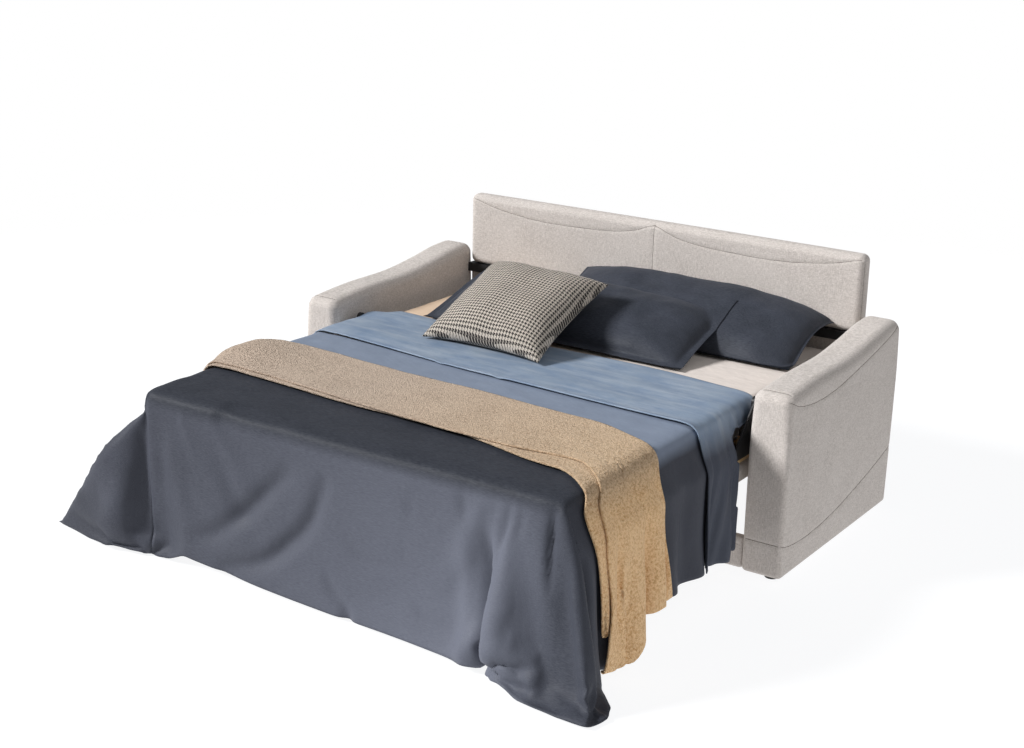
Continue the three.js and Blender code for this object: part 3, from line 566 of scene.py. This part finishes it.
def make_arm(word, side):
    points, faces = arm_surface(side)
    outer = side * ARM_OUTER
    inner = side * (ARM_INNER + 0.01)
    upper, lower = ([(outer, y, z) for y, z in spline(seam, 200)]
                    for seam in (UPPER_SEAM, LOWER_SEAM))
    across = [(x, 0, .153) for x in np.linspace(inner, side * (ARM_OUTER - ARM_EDGE), 40)]
    brow = [(x, 0.028, .70) for x in np.linspace(inner, outer, 40)]
    cover(f"arm_{word}", points, faces, [across + lower, brow + upper], 0.0028, 0.005, 0.0009)


# Headboard, panel and apron. The headboard's cross seam runs out from the middle in X and Z
CROSS_SEAM = [(0, .924), (.05, .903), (.095, .888), (.167, .875), (.237, .869), (.33, .865),
              (.444, .863), (.555, .866), (.663, .878), (.748, .892), (.846, .918)]


def make_headboard():
    low, high = own_box("headboard")
    units, faces = shell((240, 16, 60))
    points = padded(units, low, high, 0.027, (0, 0.004, 0.002), ease=0.35)
    paths = [[(0, low.y, z) for z in np.linspace(low.z + 0.006, CROSS_SEAM[0][1], 60)]]
    for _, side in SIDES:
        paths.append([(side * x, low.y, z) for x, z in spline(CROSS_SEAM, 160)])
        paths.append([(side * (high.x - 0.004), low.y + 0.016, z)
                      for z in np.linspace(low.z + 0.018, high.z - 0.03, 60)])
    cover("headboard", points, faces, paths, 0.0022, 0.0045, 0.0008)


def make_panel(name, counts, edge, swell, seams):
    units, faces = shell(counts)
    points = padded(units, *own_box(name), edge, (0, swell, 0), ease=0.4)
    cover(name, points, faces, seams, 0.0015, 0.004, 0.0008)


def make_panels():
    low, high = own_box("rear_panel")
    make_panel("rear_panel", (120, 4, 44), 0.007, 0.002, [
        [(x, high.y, z) for z in np.linspace(low.z + 0.01, high.z - 0.01, 90)]
        for x in (-0.28, 0.28)])
    low, high = own_box("front_apron")
    make_panel("front_apron", (150, 8, 16), 0.014, 0.003, [
        [(x, low.y, high.z - 0.03) for x in np.linspace(low.x + 0.01, high.x - 0.01, 160)]])


# Mattress: three sections with welted edges and a softly quilted top
PAD_EDGE = 0.024


def make_mattress(section):
    name = f"mattress_{section}"
    low, high = own_box(name)
    units, faces = shell((110, max(int((high.y - low.y) / 0.016), 12), 12))
    points = padded(units, low, high, PAD_EDGE, ease=0.3)
    ripple = noise_at(*(points * (7, 11, 5)).T)
    points[:, 2] -= 0.003 * np.maximum(units[:, 2], 0) ** 4 * (0.5 + 0.5 * ripple)
    if section == "head":
        curl = smoothstep(0.745, 0.80, points[:, 0]) * smoothstep(0.36, 0.72, points[:, 1])
        points[:, 2] += 0.05 * curl * np.clip(units[:, 2], 0, 1)
    welts = [[(x, y, z) for y in np.linspace(low.y + 0.02, high.y - 0.02, 60)]
             for z in (low.z + PAD_EDGE, high.z - PAD_EDGE) for x in (low.x, high.x)]
    made = pad(name, points, faces, welts, "welts", 0.0028, COVER, f"{section}_section",
               "mattress_cover")


# Seat and back cushions under the opened deck
def make_cushion(name, body, crown):
    low, high = own_box(name)
    units, faces = shell((48, 34, 18))
    inset = Vector((0.002, 0.002, 0))
    points = padded(units, low + inset, high - inset, 0.028, ease=0.5)
    swell = (1 - units[:, 0] ** 2) * (1 - units[:, 1] ** 2)
    points[:, 2] += np.clip(-units[:, 2], 0, 1) ** 3 * crown * (1 - swell)
    points[:, 2] += 0.0025 * noise_at(*(points * 9).T) * np.maximum(-units[:, 2], 0)
    edge_z = low.z + crown + 0.006
    xs, ys = (low.x + 0.012, high.x - 0.012), (low.y + 0.012, high.y - 0.012)
    ring = [(xs[i], ys[j], edge_z) for i, j in ((0, 0), (1, 0), (1, 1), (0, 1), (0, 0))]
    path = np.concatenate([np.linspace(a, b, 60) for a, b in zip(ring, ring[1:])])
    made = pad(name, points, faces, [path], "piping", 0.003, CUSHION, body, "cushion_cover")


# Cloth over the bed, first laid by rule and then let hang by simulation. Its flat places are u
# across and v along, as they lie on the bed
EDGE_X, EDGE_Y = 0.782, -0.987
BEND_RADIUS = 0.05
SPREAD_HALF, SPREAD_FOOT, SPREAD_HEAD = 1.237, -1.54, 0.205
# The slate cloth runs up to here, a little under the turned down end
SLATE_HEAD = -0.17
# The sides are cut out past here, where the arms stand
ARM_CUT = (0.86, -0.05)
# The loose left corner is a piece of its own past here
CORNER_CUT = (-0.81, -0.84)
STEP = 0.0215
SPREAD_CLOTH, TURNDOWN_CLOTH, THROW_CLOTH = 0.0026, 0.004, 0.006
# The loose corners' tips: their share of the turn from side to foot, and for left and right how
# far each turns and flares
TIP_SHARE = 0.562
LEFT_TIP, RIGHT_TIP = (0.02, 0.70), (0.22, 0.30)
# The simulation: its frames, how far apart things stay, and the hem's parts that stay pinned
FRAMES, APART = 40, 0.004
HELD_HEMS = ((-np.inf, -0.84), (0.56, 1.12))
# Along the sides the corners' cones reach up to here
CONE_HEAD = -0.69
SIDE_FOLD_DEPTH, SIDE_FOLD_PITCH = 0.018, 0.148
LEFT_FULLNESS = 0.034
FLOOR_GAP = 0.006


def hung(u, v, lift):
    """Where a flat place on the spread lies: over the bed, round its edge and down."""
    side = np.maximum(np.abs(u) - EDGE_X, 0)
    foot = np.maximum(EDGE_Y - v, 0)
    reach = np.hypot(side, foot)
    radius = BEND_RADIUS + lift
    arc = radius * pi / 2
    bend = np.minimum(reach / arc, 1) * pi / 2
    fall = np.maximum(reach - arc, 0)
    turn = np.where(reach > 0, np.arctan2(foot, side) / (pi / 2), 0)
    near = np.where(turn < TIP_SHARE, turn / TIP_SHARE, (1 - turn) / (1 - TIP_SHARE))
    tip_turn, tip_flare = (np.where(u < 0, *pair) for pair in zip(LEFT_TIP, RIGHT_TIP))
    angle = pi / 2 * np.where(turn < TIP_SHARE, near * tip_turn, 1 - near * (1 - tip_turn))
    side_flare = np.where(u < 0, 0.14, 0.07)
    edge_flare = side_flare + (0.03 - side_flare) * turn
    flare = edge_flare + (tip_flare - edge_flare) * near ** 1.5
    out = radius * np.sin(bend) + fall * flare
    down = radius * (1 - np.cos(bend)) + fall * np.sqrt(1 - flare ** 2)
    x = np.sign(u) * (np.minimum(np.abs(u), EDGE_X) + out * np.cos(angle))
    y = np.maximum(v, EDGE_Y) - out * np.sin(angle)
    z = np.maximum(BED_TOP + lift - down, 0.010 + lift)
    return np.stack([x, y, z], axis=-1)


def grid_faces(rows, columns, keep=None):
    quads = []
    for j in range(rows - 1):
        for i in range(columns - 1):
            if keep is None or keep[j, i]:
                a = j * columns + i
                quads.append((a, a + 1, a + columns + 1, a + columns))
    return quads


def in_use(points, faces):
    """The points that the faces use, and the faces numbered to match."""
    used = np.unique(np.array(faces))
    index = np.full(len(points), -1)
    index[used] = np.arange(len(used))
    return points[used], [tuple(index[list(f)]) for f in faces]


def simulate(obj, colliders, flat, pinned):
    """Lets the cloth fall on the colliders and returns where it comes to lie.

    flat holds its unstretched places, pinned the points that stay where they are.
    """
    obj.shape_key_add(name="Basis")
    obj.shape_key_add(name="flat").data.foreach_set("co", flat.ravel())
    cloth = obj.modifiers.new("cloth", "CLOTH")
    settings = cloth.settings
    settings.quality = 6
    settings.mass = 0.3
    settings.air_damping = 2.0
    settings.tension_stiffness = settings.compression_stiffness = 15
    settings.shear_stiffness = 5
    settings.bending_stiffness = 1.5
    settings.rest_shape_key = obj.data.shape_keys.key_blocks["flat"]
    obj.vertex_groups.new(name="pinned").add([int(i) for i in pinned], 1.0, "REPLACE")
    settings.vertex_group_mass = "pinned"
    touch = cloth.collision_settings
    touch.distance_min = APART
    touch.collision_quality = 3
    touch.friction = 20
    for body in colliders:
        body.modifiers.new("collision", "COLLISION")
        body.collision.thickness_outer = APART
        body.collision.cloth_friction = 20
    cloth.point_cache.frame_start, cloth.point_cache.frame_end = 1, FRAMES
    for step in range(1, FRAMES + 1):
        SCENE.frame_set(step)
    found = obj.evaluated_get(bpy.context.evaluated_depsgraph_get()).data
    points = np.empty(len(found.vertices) * 3)
    found.vertices.foreach_get("co", points)
    for extra in (obj, *colliders):
        bpy.data.objects.remove(extra)
    SCENE.frame_set(1)
    return points.reshape(-1, 3)


def floor_square(half):
    return [(-half, -half, 0), (half, -half, 0), (half, half, 0), (-half, half, 0)], [(0, 1, 2, 3)]


def block(name, low, high, edge):
    units, faces = shell((14, 14, 8))
    return mesh_object(name, padded(units, low, high, edge), faces)


# The loose corners' hems, from the foot round to the side: u, v and where they lie in X, Y and Z
CONE_HEM = [(.52, -1.54, .530, -1.035, .012), (.585, -1.54, .575, -1.005, .012),
            (.63, -1.54, .592, -1.060, .012), (.70, -1.54, .645, -1.100, .012),
            (.80, -1.54, .735, -1.125, .012), (.95, -1.54, .870, -1.145, .012),
            (1.10, -1.54, .975, -1.130, .012), (1.237, -1.54, 1.020, -1.075, .014),
            (1.237, -1.40, .985, -1.015, .016), (1.237, -1.25, .925, -.970, .035),
            (1.237, -1.10, .892, -.930, .050), (1.237, -.95, .880, -.870, .055),
            (1.237, -.80, .875, -.780, .055)]
# The left corner, mirrored: it runs on from the foot fall to a point on the floor
POINT_HEM = [(.66, -1.54, .660, -1.010, .020), (.782, -1.54, .790, -1.016, .018),
             (.90, -1.54, .895, -1.040, .012), (1.00, -1.54, .985, -1.045, .012),
             (1.10, -1.54, 1.090, -1.025, .012), (1.237, -1.54, 1.275, -.985, .012),
             (1.237, -1.40, 1.150, -.925, .050), (1.237, -1.25, 1.045, -.880, .110),
             (1.237, -1.10, .965, -.840, .150), (1.237, -.95, .880, -.820, .130),
             (1.237, -.80, .840, -.790, .125)]

# Creases pressed into the spread's foot fall: line in X and Z, depth and half width
CREASES = [
    ([(-.224, .452), (-.308, .364), (-.389, .276), (-.512, .169), (-.596, .129)], .021, .030),
    ([(-.076, .455), (-.130, .321), (-.214, .220), (-.316, .130), (-.477, .056)], .024, .030),
    ([(.021, .075), (.048, -.02)], .016, .022), ([(.612, .555), (.590, .47)], .010, .014),
    ([(.024, .305), (.082, .258), (.177, .250)], .006, .024),
    ([(-.06, .17), (-.03, .12), (.03, .06)], .008, .022),
    ([(.752, .565), (.768, .48), (.790, .38)], .014, .010),
    ([(.655, .555), (.648, .50)], .006, .014), ([(.44, .555), (.452, .47)], .006, .018),
    ([(.665, .17), (.740, .125), (.800, .060)], .010, .016),
    ([(.680, .10), (.730, .075), (.790, .040)], .007, .014),
    ([(.25, .50), (.262, .42)], .004, .022), ([(.300, .16), (.330, .13), (.420, .115)], .005, .018),
]
# The deep fold beside the right corner, from the floor up
DEEP_FOLD = [(.592, .0), (.580, .15), (.570, .25), (.556, .36), (.540, .44), (.538, .50),
             (.550, .56)]
DEEP_FOLD_DEPTH = 0.046


def halved(values, axis=0):
    """Twice as fine a row of values along one axis, smoothed as a cubic spline."""
    values = np.moveaxis(values, axis, 0)
    wide = np.concatenate([2 * values[:1] - values[1:2], values, 2 * values[-1:] - values[-2:-1]])
    out = np.empty((2 * len(values) - 1,) + values.shape[1:])
    out[::2] = (wide[:-2] + 6 * values + wide[2:]) / 8
    out[1::2] = (values[:-1] + values[1:]) / 2
    return np.moveaxis(out, 0, axis)


def creased(surface, us, vs):
    """Presses the soft creases and the one deep fold into the spread's foot fall."""
    u, v = np.meshgrid(us, vs)
    z = BED_TOP - (EDGE_Y - v) + 0.02
    move = np.zeros_like(u)
    for line, depth, width in CREASES:
        path = spline(line, 40)
        near = np.full(u.shape, np.inf)
        at = np.zeros(u.shape)
        for k, (x, height) in enumerate(path):
            apart = np.hypot(u - x, z - height)
            at = np.where(apart < near, k / 39, at)
            near = np.minimum(near, apart)
        move -= depth * np.exp(-(near / width) ** 2) * np.sin(pi * (0.12 + 0.76 * at))
    xs, heights = zip(*DEEP_FOLD)
    past = u - np.interp(z, heights, xs)
    open_share = smoothstep(0.50, 0.28, z) * (v < EDGE_Y - 0.01)
    groove = np.exp(-(np.minimum(past, 0) / 0.026) ** 2 - (np.maximum(past, 0) / 0.012) ** 2)
    move -= DEEP_FOLD_DEPTH * groove * open_share * smoothstep(-0.06, 0.16, z)
    move += 0.020 * smoothstep(0.010, 0.035, past) * smoothstep(0.22, 0.06, past) * open_share
    reach = np.hypot(np.maximum(-u - EDGE_X, 0), np.maximum(EDGE_Y - v, 0))
    move += (LEFT_FULLNESS * smoothstep(0.80, 1.0, -u) * smoothstep(-0.90, -1.1, v)
             * np.sin(pi * np.clip(reach / 0.72, 0, 1) ** 0.6))
    move += 0.012 * np.exp(-((past + 0.085) / 0.035) ** 2) * open_share
    fall = np.clip((np.abs(u) - EDGE_X) / (SPREAD_HALF - EDGE_X), 0, 1) * smoothstep(-1.0, -0.85, v)
    folds = np.sin(2 * pi * v / SIDE_FOLD_PITCH + 2.2 + 0.8 * np.sin(v * 9))
    move += SIDE_FOLD_DEPTH * fall * folds
    return cleared(lifted(surface, move))


def coned(u, v, start, hem, side, bow):
    """Brings a loose corner of the foot to its place on the floor.

    The cloth's edge follows hem, and from there to the bed's edge it runs straight but for a bow.
    """
    first = hem[0][0]
    u = u * side
    fine, knots = np.linspace(0, 1, 1200), np.linspace(0, 1, len(hem))
    rows = np.stack([np.interp(fine, knots, row) for row in zip(*hem)], axis=1)
    flat, held = rows[:, :2], rows[:, 2:]
    root = np.stack([np.minimum(flat[:, 0], EDGE_X), np.maximum(flat[:, 1], EDGE_Y)], axis=1)
    way = flat - root
    loose = (u > first) & (v < CONE_HEAD) & ((u > EDGE_X + 0.05) | (v < EDGE_Y - 0.05))
    for j, i in np.argwhere(loose):
        here = np.array([u[j, i], v[j, i]])
        root_here = np.array([min(here[0], EDGE_X), max(here[1], EDGE_Y)])
        aside = here - root_here
        miss = np.linalg.norm(root - root_here, axis=1) * 4
        miss += np.abs(way[:, 0] * aside[1] - way[:, 1] * aside[0]) / np.linalg.norm(way, axis=1)
        k = int(np.argmin(miss))
        share = min(np.linalg.norm(aside) / np.linalg.norm(way[k]), 1)
        top = np.array([root_here[0], root_here[1], BED_TOP])
        out = np.array([aside[0], aside[1], 0]) / np.linalg.norm(aside) * bow
        line = top + out * min(share * 8, 1) + (held[k] - top - out) * share
        edge = min((here[0] - first) / 0.08, 1, (CONE_HEAD - here[1]) / 0.2)
        line[0] *= side
        start[j, i] += (line - start[j, i]) * edge * min(share * 5, 1)
    return start


def drape():
    """The whole spread, simulated: its surface with the grid's u and v, and the cells to keep."""
    us = np.linspace(-SPREAD_HALF, SPREAD_HALF, round(2 * SPREAD_HALF / STEP) + 1)
    vs = np.linspace(SPREAD_FOOT, SPREAD_HEAD, round((SPREAD_HEAD - SPREAD_FOOT) / STEP) + 1)
    u, v = np.meshgrid(us, vs)
    start = hung(u, v + 0.022 * smoothstep(0.0, 0.8, -u), 0.006)
    start = coned(u, v, start, CONE_HEM, 1, 0.03)
    start = coned(u, v, start, POINT_HEM, -1, 0.05)
    start[..., 2] += 0.010 * smoothstep(0.15, 0.80, -u) * np.clip(start[..., 2] / BED_TOP, 0, 1)
    wave = noise_at(u * 5.5, v * 5.5, 3.1)
    hangs = np.clip((BED_TOP - 0.06 - start[..., 2]) * 6, 0, 1)
    side = np.abs(u) - EDGE_X > np.maximum(EDGE_Y - v, 0)
    start[..., 0] += np.where(side, np.sign(u) * (0.006 + 0.02 * wave) * hangs, 0)
    start[..., 1] -= np.where(side, 0, (0.006 + 0.02 * wave) * hangs)
    outside = np.maximum(np.abs(u[:-1, :-1]), np.abs(u[:-1, 1:])) > ARM_CUT[0]
    keep = ~((v[:-1, :-1] > ARM_CUT[1]) & outside)
    points = start.reshape(-1, 3)
    faces = grid_faces(len(vs), len(us), keep)
    used = np.unique(np.array(faces))
    obj = mesh_object("spread_cloth", *in_use(points, faces))
    flat = np.stack([u, v, 0 * u], axis=-1).reshape(-1, 3)[used]
    pinned = (np.abs(flat[:, 0]) < 0.74) & (flat[:, 1] > EDGE_Y + 0.04)
    pinned |= np.hypot(flat[:, 0] + SPREAD_HALF, flat[:, 1] - SPREAD_FOOT) < 0.07
    for low, high in HELD_HEMS:
        pinned |= (flat[:, 1] < SPREAD_FOOT + 0.01) & (flat[:, 0] > low) & (flat[:, 0] < high)
    boxes = [block(*row) for row in (
        ("bed", (-EDGE_X, EDGE_Y, 0.46), (EDGE_X, 0.85, BED_TOP), 0.03),
        ("heap", (-EDGE_X - 0.045, EDGE_Y - 0.01, 0.46), (-0.5, 0.2, BED_TOP + 0.006), 0.03),
        ("deck", (-0.832, EDGE_Y + 0.004, 0.37), (0.832, 0.0, 0.455), 0.01),
        ("leg", (-0.845, -0.965, 0), (-0.815, -0.925, 0.42), 0.01),
        ("leg", (0.815, -0.965, 0), (0.845, -0.925, 0.42), 0.01))]
    floor = mesh_object("ground", *floor_square(3))
    walls = [block("wall", (low, 0, 0.03), (low + ARM_OUTER - ARM_INNER, 0.87, 0.66), 0.01)
             for low in (ARM_INNER, -ARM_OUTER)]
    points[used] = simulate(obj, [*boxes, floor, *walls], flat * (1.015, 1.0, 1.0),
                            np.flatnonzero(pinned))
    surface = halved(halved(points.reshape(u.shape + (3,))), 1)
    us, vs = halved(us), halved(vs)
    keep = np.repeat(np.repeat(keep, 2, axis=0), 2, axis=1)
    return (creased(surface, us, vs), us, vs), keep


def lifted(surface, lift):
    """The surface moved out along its own normals."""
    across = np.gradient(surface, axis=1)
    along = np.gradient(surface, axis=0)
    normal = np.cross(across, along)
    normal /= np.linalg.norm(normal, axis=-1, keepdims=True)
    return surface + normal * np.asarray(lift)[..., None]


def cleared(surface, height=FLOOR_GAP):
    """Keeps cloth from sinking into the floor."""
    surface[..., 2] = np.maximum(surface[..., 2], height)
    return surface


def sample(surface, us, vs, u, v):
    """The surface at flat places between its grid lines, carried on straight past its sides."""
    a = (u - us[0]) / (us[1] - us[0])
    b = np.clip((v - vs[0]) / (vs[1] - vs[0]), 0, len(vs) - 1.001)
    i, j = np.clip(a, 0, len(us) - 2).astype(int), b.astype(int)
    fa, fb = (a - i)[..., None], (b - j)[..., None]
    return ((surface[j, i] * (1 - fa) + surface[j, i + 1] * fa) * (1 - fb)
            + (surface[j + 1, i] * (1 - fa) + surface[j + 1, i + 1] * fa) * fb)


def gather_on_fold(obj):
    """Gives a piece of loose bedding its own copy of its mesh."""
    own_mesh(obj)


def make_spread(cloth, keep):
    """The slate cloth up to the turned down end, and its loose left corner apart."""
    surface, us, vs = cloth
    rows = np.count_nonzero(vs <= SLATE_HEAD)
    points = surface[:rows].reshape(-1, 3)
    corner = (us[None, :-1] < CORNER_CUT[0]) & (vs[:rows - 1, None] < CORNER_CUT[1])

    def cut_out(name, cells, replaced=()):
        made = piece(name, *in_use(points, grid_faces(rows, len(us), cells)), SLATE, "root",
                     "bedspread_cloth", replaced)
        bake(made, smooth=False, thickness=SPREAD_CLOTH)
        return made

    spread = cut_out("bedspread_cloth", keep[:rows - 1] & ~corner, ["bedspread"])
    point = cut_out("bedspread_corner", corner)
    gather_on_fold(spread)
    gather_on_fold(point)


# The turned down end: where its hem is tucked, and its gathers beside the right arm
TUCKS = (-0.235, 0.02)
GATHER_PITCH = 0.052


def make_turndown(cloth):
    """The turned down end, whose hem slopes across the bed."""
    columns, shares = np.linspace(-SPREAD_HALF, SPREAD_HALF, 150), np.linspace(0, 1, 40)[:, None]
    place = np.clip((columns / EDGE_X + 1) / 2, 0, 1)
    foot = -0.165 - 0.075 * place - 0.05 * smoothstep(EDGE_X, SPREAD_HALF, columns)
    head = SPREAD_HEAD - 0.001 - 0.04 * smoothstep(0.4, 0.9, columns)
    v = foot + shares * (head - foot)
    u = np.broadcast_to(columns, v.shape)
    tucks = sum(np.exp(-((u - at) / 0.012) ** 2) for at in TUCKS) * (1 - shares) ** 6
    rolls = noise_at(u * 2.2, v[:, :1] * 13 + 0.7 * np.sin(u * 3), 5.2)
    gathers = np.sin((v + 0.25 * (u - EDGE_X)) / GATHER_PITCH * 2 * pi) * smoothstep(0.74, 0.92, u)
    rise = (0.007 + 0.006 * place * np.exp(-((v - foot) / 0.022) ** 2) + 0.004 * rolls
            - 0.006 * tucks + 0.006 * gathers)
    top = lifted(sample(*cloth, u, v), np.maximum(rise, 0.005))
    outside = np.abs((u[:-1, :-1] + u[:-1, 1:]) / 2) > ARM_CUT[0]
    faces = grid_faces(*u.shape, ~((v[:-1, :-1] > ARM_CUT[1]) & outside))
    band = piece("turndown_cloth", *in_use(top.reshape(-1, 3), faces), BLUE, "root",
                 "turndown_cloth", ["bedspread_turndown"])
    bake(band, thickness=TURNDOWN_CLOTH)
    gather_on_fold(band)


# The throw's hems and ends, as flat places: a start and its steps, each a rise between two places
THROW_LEFT = EDGE_X + 0.43
PLEAT_DEPTH, PLEAT_PITCH = 0.013, 0.098
THROW_HEAD = (-0.390, (-0.030, 0.0, 0.55), (-0.125, 0.5, 0.95), (0.040, 0.95, 1.28))
# Each layer: name, nodes, rows, its share of the width, lift, seed, puff, right end and foot hem
THROW_LAYERS = (
    ("throw_upper", ["throw"], 36, 1.0, 0.020, 7.7, 0.028, (1.30, (-0.08, 0.35, 0.5)),
     (-0.715, (-0.045, -0.5, 0.4), (0.020, 0.4, 0.66), (-0.165, 0.66, 0.90))),
    ("throw_lower", (), 24, 0.6, 0.012, 8.7, 0.0, (1.13,),
     (-0.730, (-0.085, 0.15, 0.65), (-0.145, 0.64, 0.90))),
)


def stepped(at, start, *steps):
    for rise, low, high in steps:
        start = start + rise * smoothstep(low, high, at)
    return start


def make_throw(cloth):
    """The throw lies across the spread and hangs down both sides in two layers at the right."""
    for name, nodes, rows, width, lift, seed, puff, right, foot in THROW_LAYERS:
        shares = np.linspace(0, width, rows)[:, None]
        right = stepped(shares, *right) + 0.010 * noise_at(shares * 37, seed, 1)
        u = -THROW_LEFT + np.linspace(0, 1, 190) * (right + THROW_LEFT)
        foot = stepped(u, *foot)
        v = foot + shares * (stepped(u, *THROW_HEAD) - foot)
        part = lifted(sample(*cloth, u, v), lift)
        pleats = np.sin((v + 0.1 * (u - EDGE_X)) / PLEAT_PITCH * 2 * pi + seed)
        rise = (0.002 * noise_at(u * 9, shares * 9, seed)
                + PLEAT_DEPTH * (1 + pleats) * smoothstep(EDGE_X + 0.02, 1.15, u)
                + puff * smoothstep(0.55, 0.80, -u) * np.sin(shares * pi))
        part = cleared(lifted(part, rise), 0.012 + lift)
        obj = piece(name, part.reshape(-1, 3), grid_faces(*u.shape), TERRY, "root", "throw_cloth",
                    nodes)
        bake(obj, thickness=THROW_CLOTH)
        gather_on_fold(obj)


# Pillows and the scatter cushion, each settled on the one before: name, node, size, grid, flange,
# crown, draw, middle, tilt, turn, finish, slot, seed and how far the left and right corners droop
PILLOWS = (
    ("rear_pillow", "pillow_rear", (1.05, 0.42), (84, 44), 0.015, 0.080, 0.03,
     (0.235, 0.665, 0.652), 0.48, 0.0, DARK, "pillow_cloth", 1.3, (0.025, 0.085)),
    ("front_pillow", "pillow_front", (1.10, 0.43), (84, 44), 0.03, 0.075, 0.02,
     (-0.092, 0.462, 0.652), 0.30, 0.0, DARK, "pillow_cloth", 4.7, (0.02, 0.01)),
    ("scatter_pillow", "scatter_cushion", (0.505, 0.47), (56, 56), 0.0, 0.085, 0.10,
     (-0.186, 0.197, 0.710), 0.41, -0.03, CHECK, "houndstooth_cloth", 8.1, (0, 0)),
)
RIM = 0.0016
CROWN_POWER = 2.6


def pillow_form(size, counts, flange, crown, draw):
    """A crowned face with a thin rim and a flat flange outside it if it has one."""
    grid = np.meshgrid(*(np.sin(np.linspace(-1, 1, k + 1) * pi / 2 * 0.999) for k in counts))
    inner = [np.clip(np.abs(g) * side / 2 / (side / 2 - flange), 0, 1)
             for g, side in zip(grid, size)]
    swell = np.sqrt((1 - inner[0] ** CROWN_POWER) * (1 - inner[1] ** CROWN_POWER))
    x, y = (g * side / 2 * (1 - draw * g * g * (1 - other * other))
            for g, other, side in zip(grid, grid[::-1], size))
    return x, y, crown * swell + RIM, swell


def make_pillow(name, node, size, counts, flange, crown, draw, middle, tilt, turn, finish, slot,
                seed, droops, under):
    x, y, height, swell = pillow_form(size, counts, flange, crown, draw)
    creases = noise_at(x * 7, y * 7, seed) + 0.5 * noise_at(x * 17, y * 17, seed)
    top = height + creases * 0.011 * np.sqrt(np.clip(swell, 0, 1))
    across, along = 2 * x / size[0], 2 * y / size[1]
    droop = (np.where(across < 0, *droops) * np.abs(across) ** 3 * np.clip(along, 0, 1) ** 2
             + 0.012 * across ** 4)
    points = np.concatenate([np.stack([x, y, z - droop], -1).reshape(-1, 3)
                             for z in (top, -height * 0.8)])
    half = grid_faces(*x.shape)
    index = np.arange(x.size).reshape(x.shape)
    ring = [*index[0], *index[1:, -1], *index[-1, -2::-1], *index[-2:0:-1, 0]]
    faces = half + [tuple(x.size + k for k in f[::-1]) for f in half]
    faces += [(q, p, x.size + p, x.size + q) for p, q in zip(ring, ring[1:] + ring[:1])]
    turned = Matrix.Rotation(turn, 3, "Z") @ Matrix.Rotation(tilt, 3, "X")
    points = settle(points @ np.array(turned).T + middle, under)
    uv = np.concatenate([np.stack([x, y], -1).reshape(-1, 2)] * 2)
    made = piece(name, points, faces, finish, "root", slot, [node], uv=uv)
    bake(made)
    gather_on_fold(made)
    return made


def settle(points, under):
    """Lifts what would sink into the bed or the pieces under it onto their tops."""
    ground = np.full(len(points), BED_TOP + 0.012)
    for obj in under:
        found = [obj.matrix_world @ vertex.co for vertex in obj.data.vertices]
        tree = BVHTree.FromPolygons(found, [tuple(f.vertices) for f in obj.data.polygons])
        for i, point in enumerate(points):
            hit = tree.ray_cast(Vector((point[0], point[1], 2)) + ORIGIN, Vector((0, 0, -1)))[0]
            if hit:
                ground[i] = max(ground[i], hit.z + 0.004)
    points[:, 2] = np.maximum(points[:, 2], ground)
    return points


# Finishes for the frame's own solids that stay in view, by what is in their names
FRAME_FINISHES = (("_board", SLAT), ("_slat_", SLAT), ("pin", PINS), ("arm_foot", FOOT),
                  ("foot_leg", LEG), ("", STEEL))


def finish_frame():
    for name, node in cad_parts.items():
        node.data.materials.clear()
        node.data.materials.append(next(look for word, look in FRAME_FINISHES if word in name))


# Studio: a pale floor that fades into the white background
FADE_NEAR, FADE_FAR = 2.4, 5.2


def make_studio():
    s = Shader("studio", world=True)
    SCENE.world = s.holder
    path = s.node("LightPath").outputs
    seen = s.math("MAXIMUM", path["Is Camera Ray"], path["Is Transmission Ray"])
    light = s.node("Background", Color=(0.97, 0.98, 1.0, 1), Strength=0.24)
    s.show(s.blend(seen, light, s.node("Background", Color=(1, 1, 1, 1), Strength=1.0)))

    s = Shader("studio floor")
    reach = s.node("VectorMath", {"operation": "LENGTH"})
    s.put(reach.inputs[0], s.place.outputs["Object"])
    fade = s.range(reach.outputs["Value"], FADE_NEAR, FADE_FAR)
    tone = s.mix(s.noise(2.0, 2), (0.90, 0.90, 0.905, 1), (0.92, 0.92, 0.922, 1))
    matt = s.node("BsdfDiffuse", Color=tone)
    glow = s.node("Emission", Color=(0.95, 0.955, 0.965, 1), Strength=1.16)
    ground = mesh_object("floor", *floor_square(9))
    ground.data.materials.append(
        s.show(s.blend(fade, s.blend(0.80, matt, glow), s.node("BsdfTransparent"))))


make_camera()
make_lights()
make_studio()
finish_frame()
for word, side in SIDES:
    make_arm(word, side)
make_headboard()
make_panels()
for section in ("head", "mid", "foot"):
    make_mattress(section)
for word, _ in SIDES:
    make_cushion(f"seat_cushion_{word}", "mid_section", 0.010)
    make_cushion(f"back_cushion_{word}", "foot_section", 0.012)
cloth, cells = drape()
make_spread(cloth, cells)
make_turndown(cloth)
make_throw(cloth)
under = []
for pillow in PILLOWS:
    under = [make_pillow(*pillow, under)]
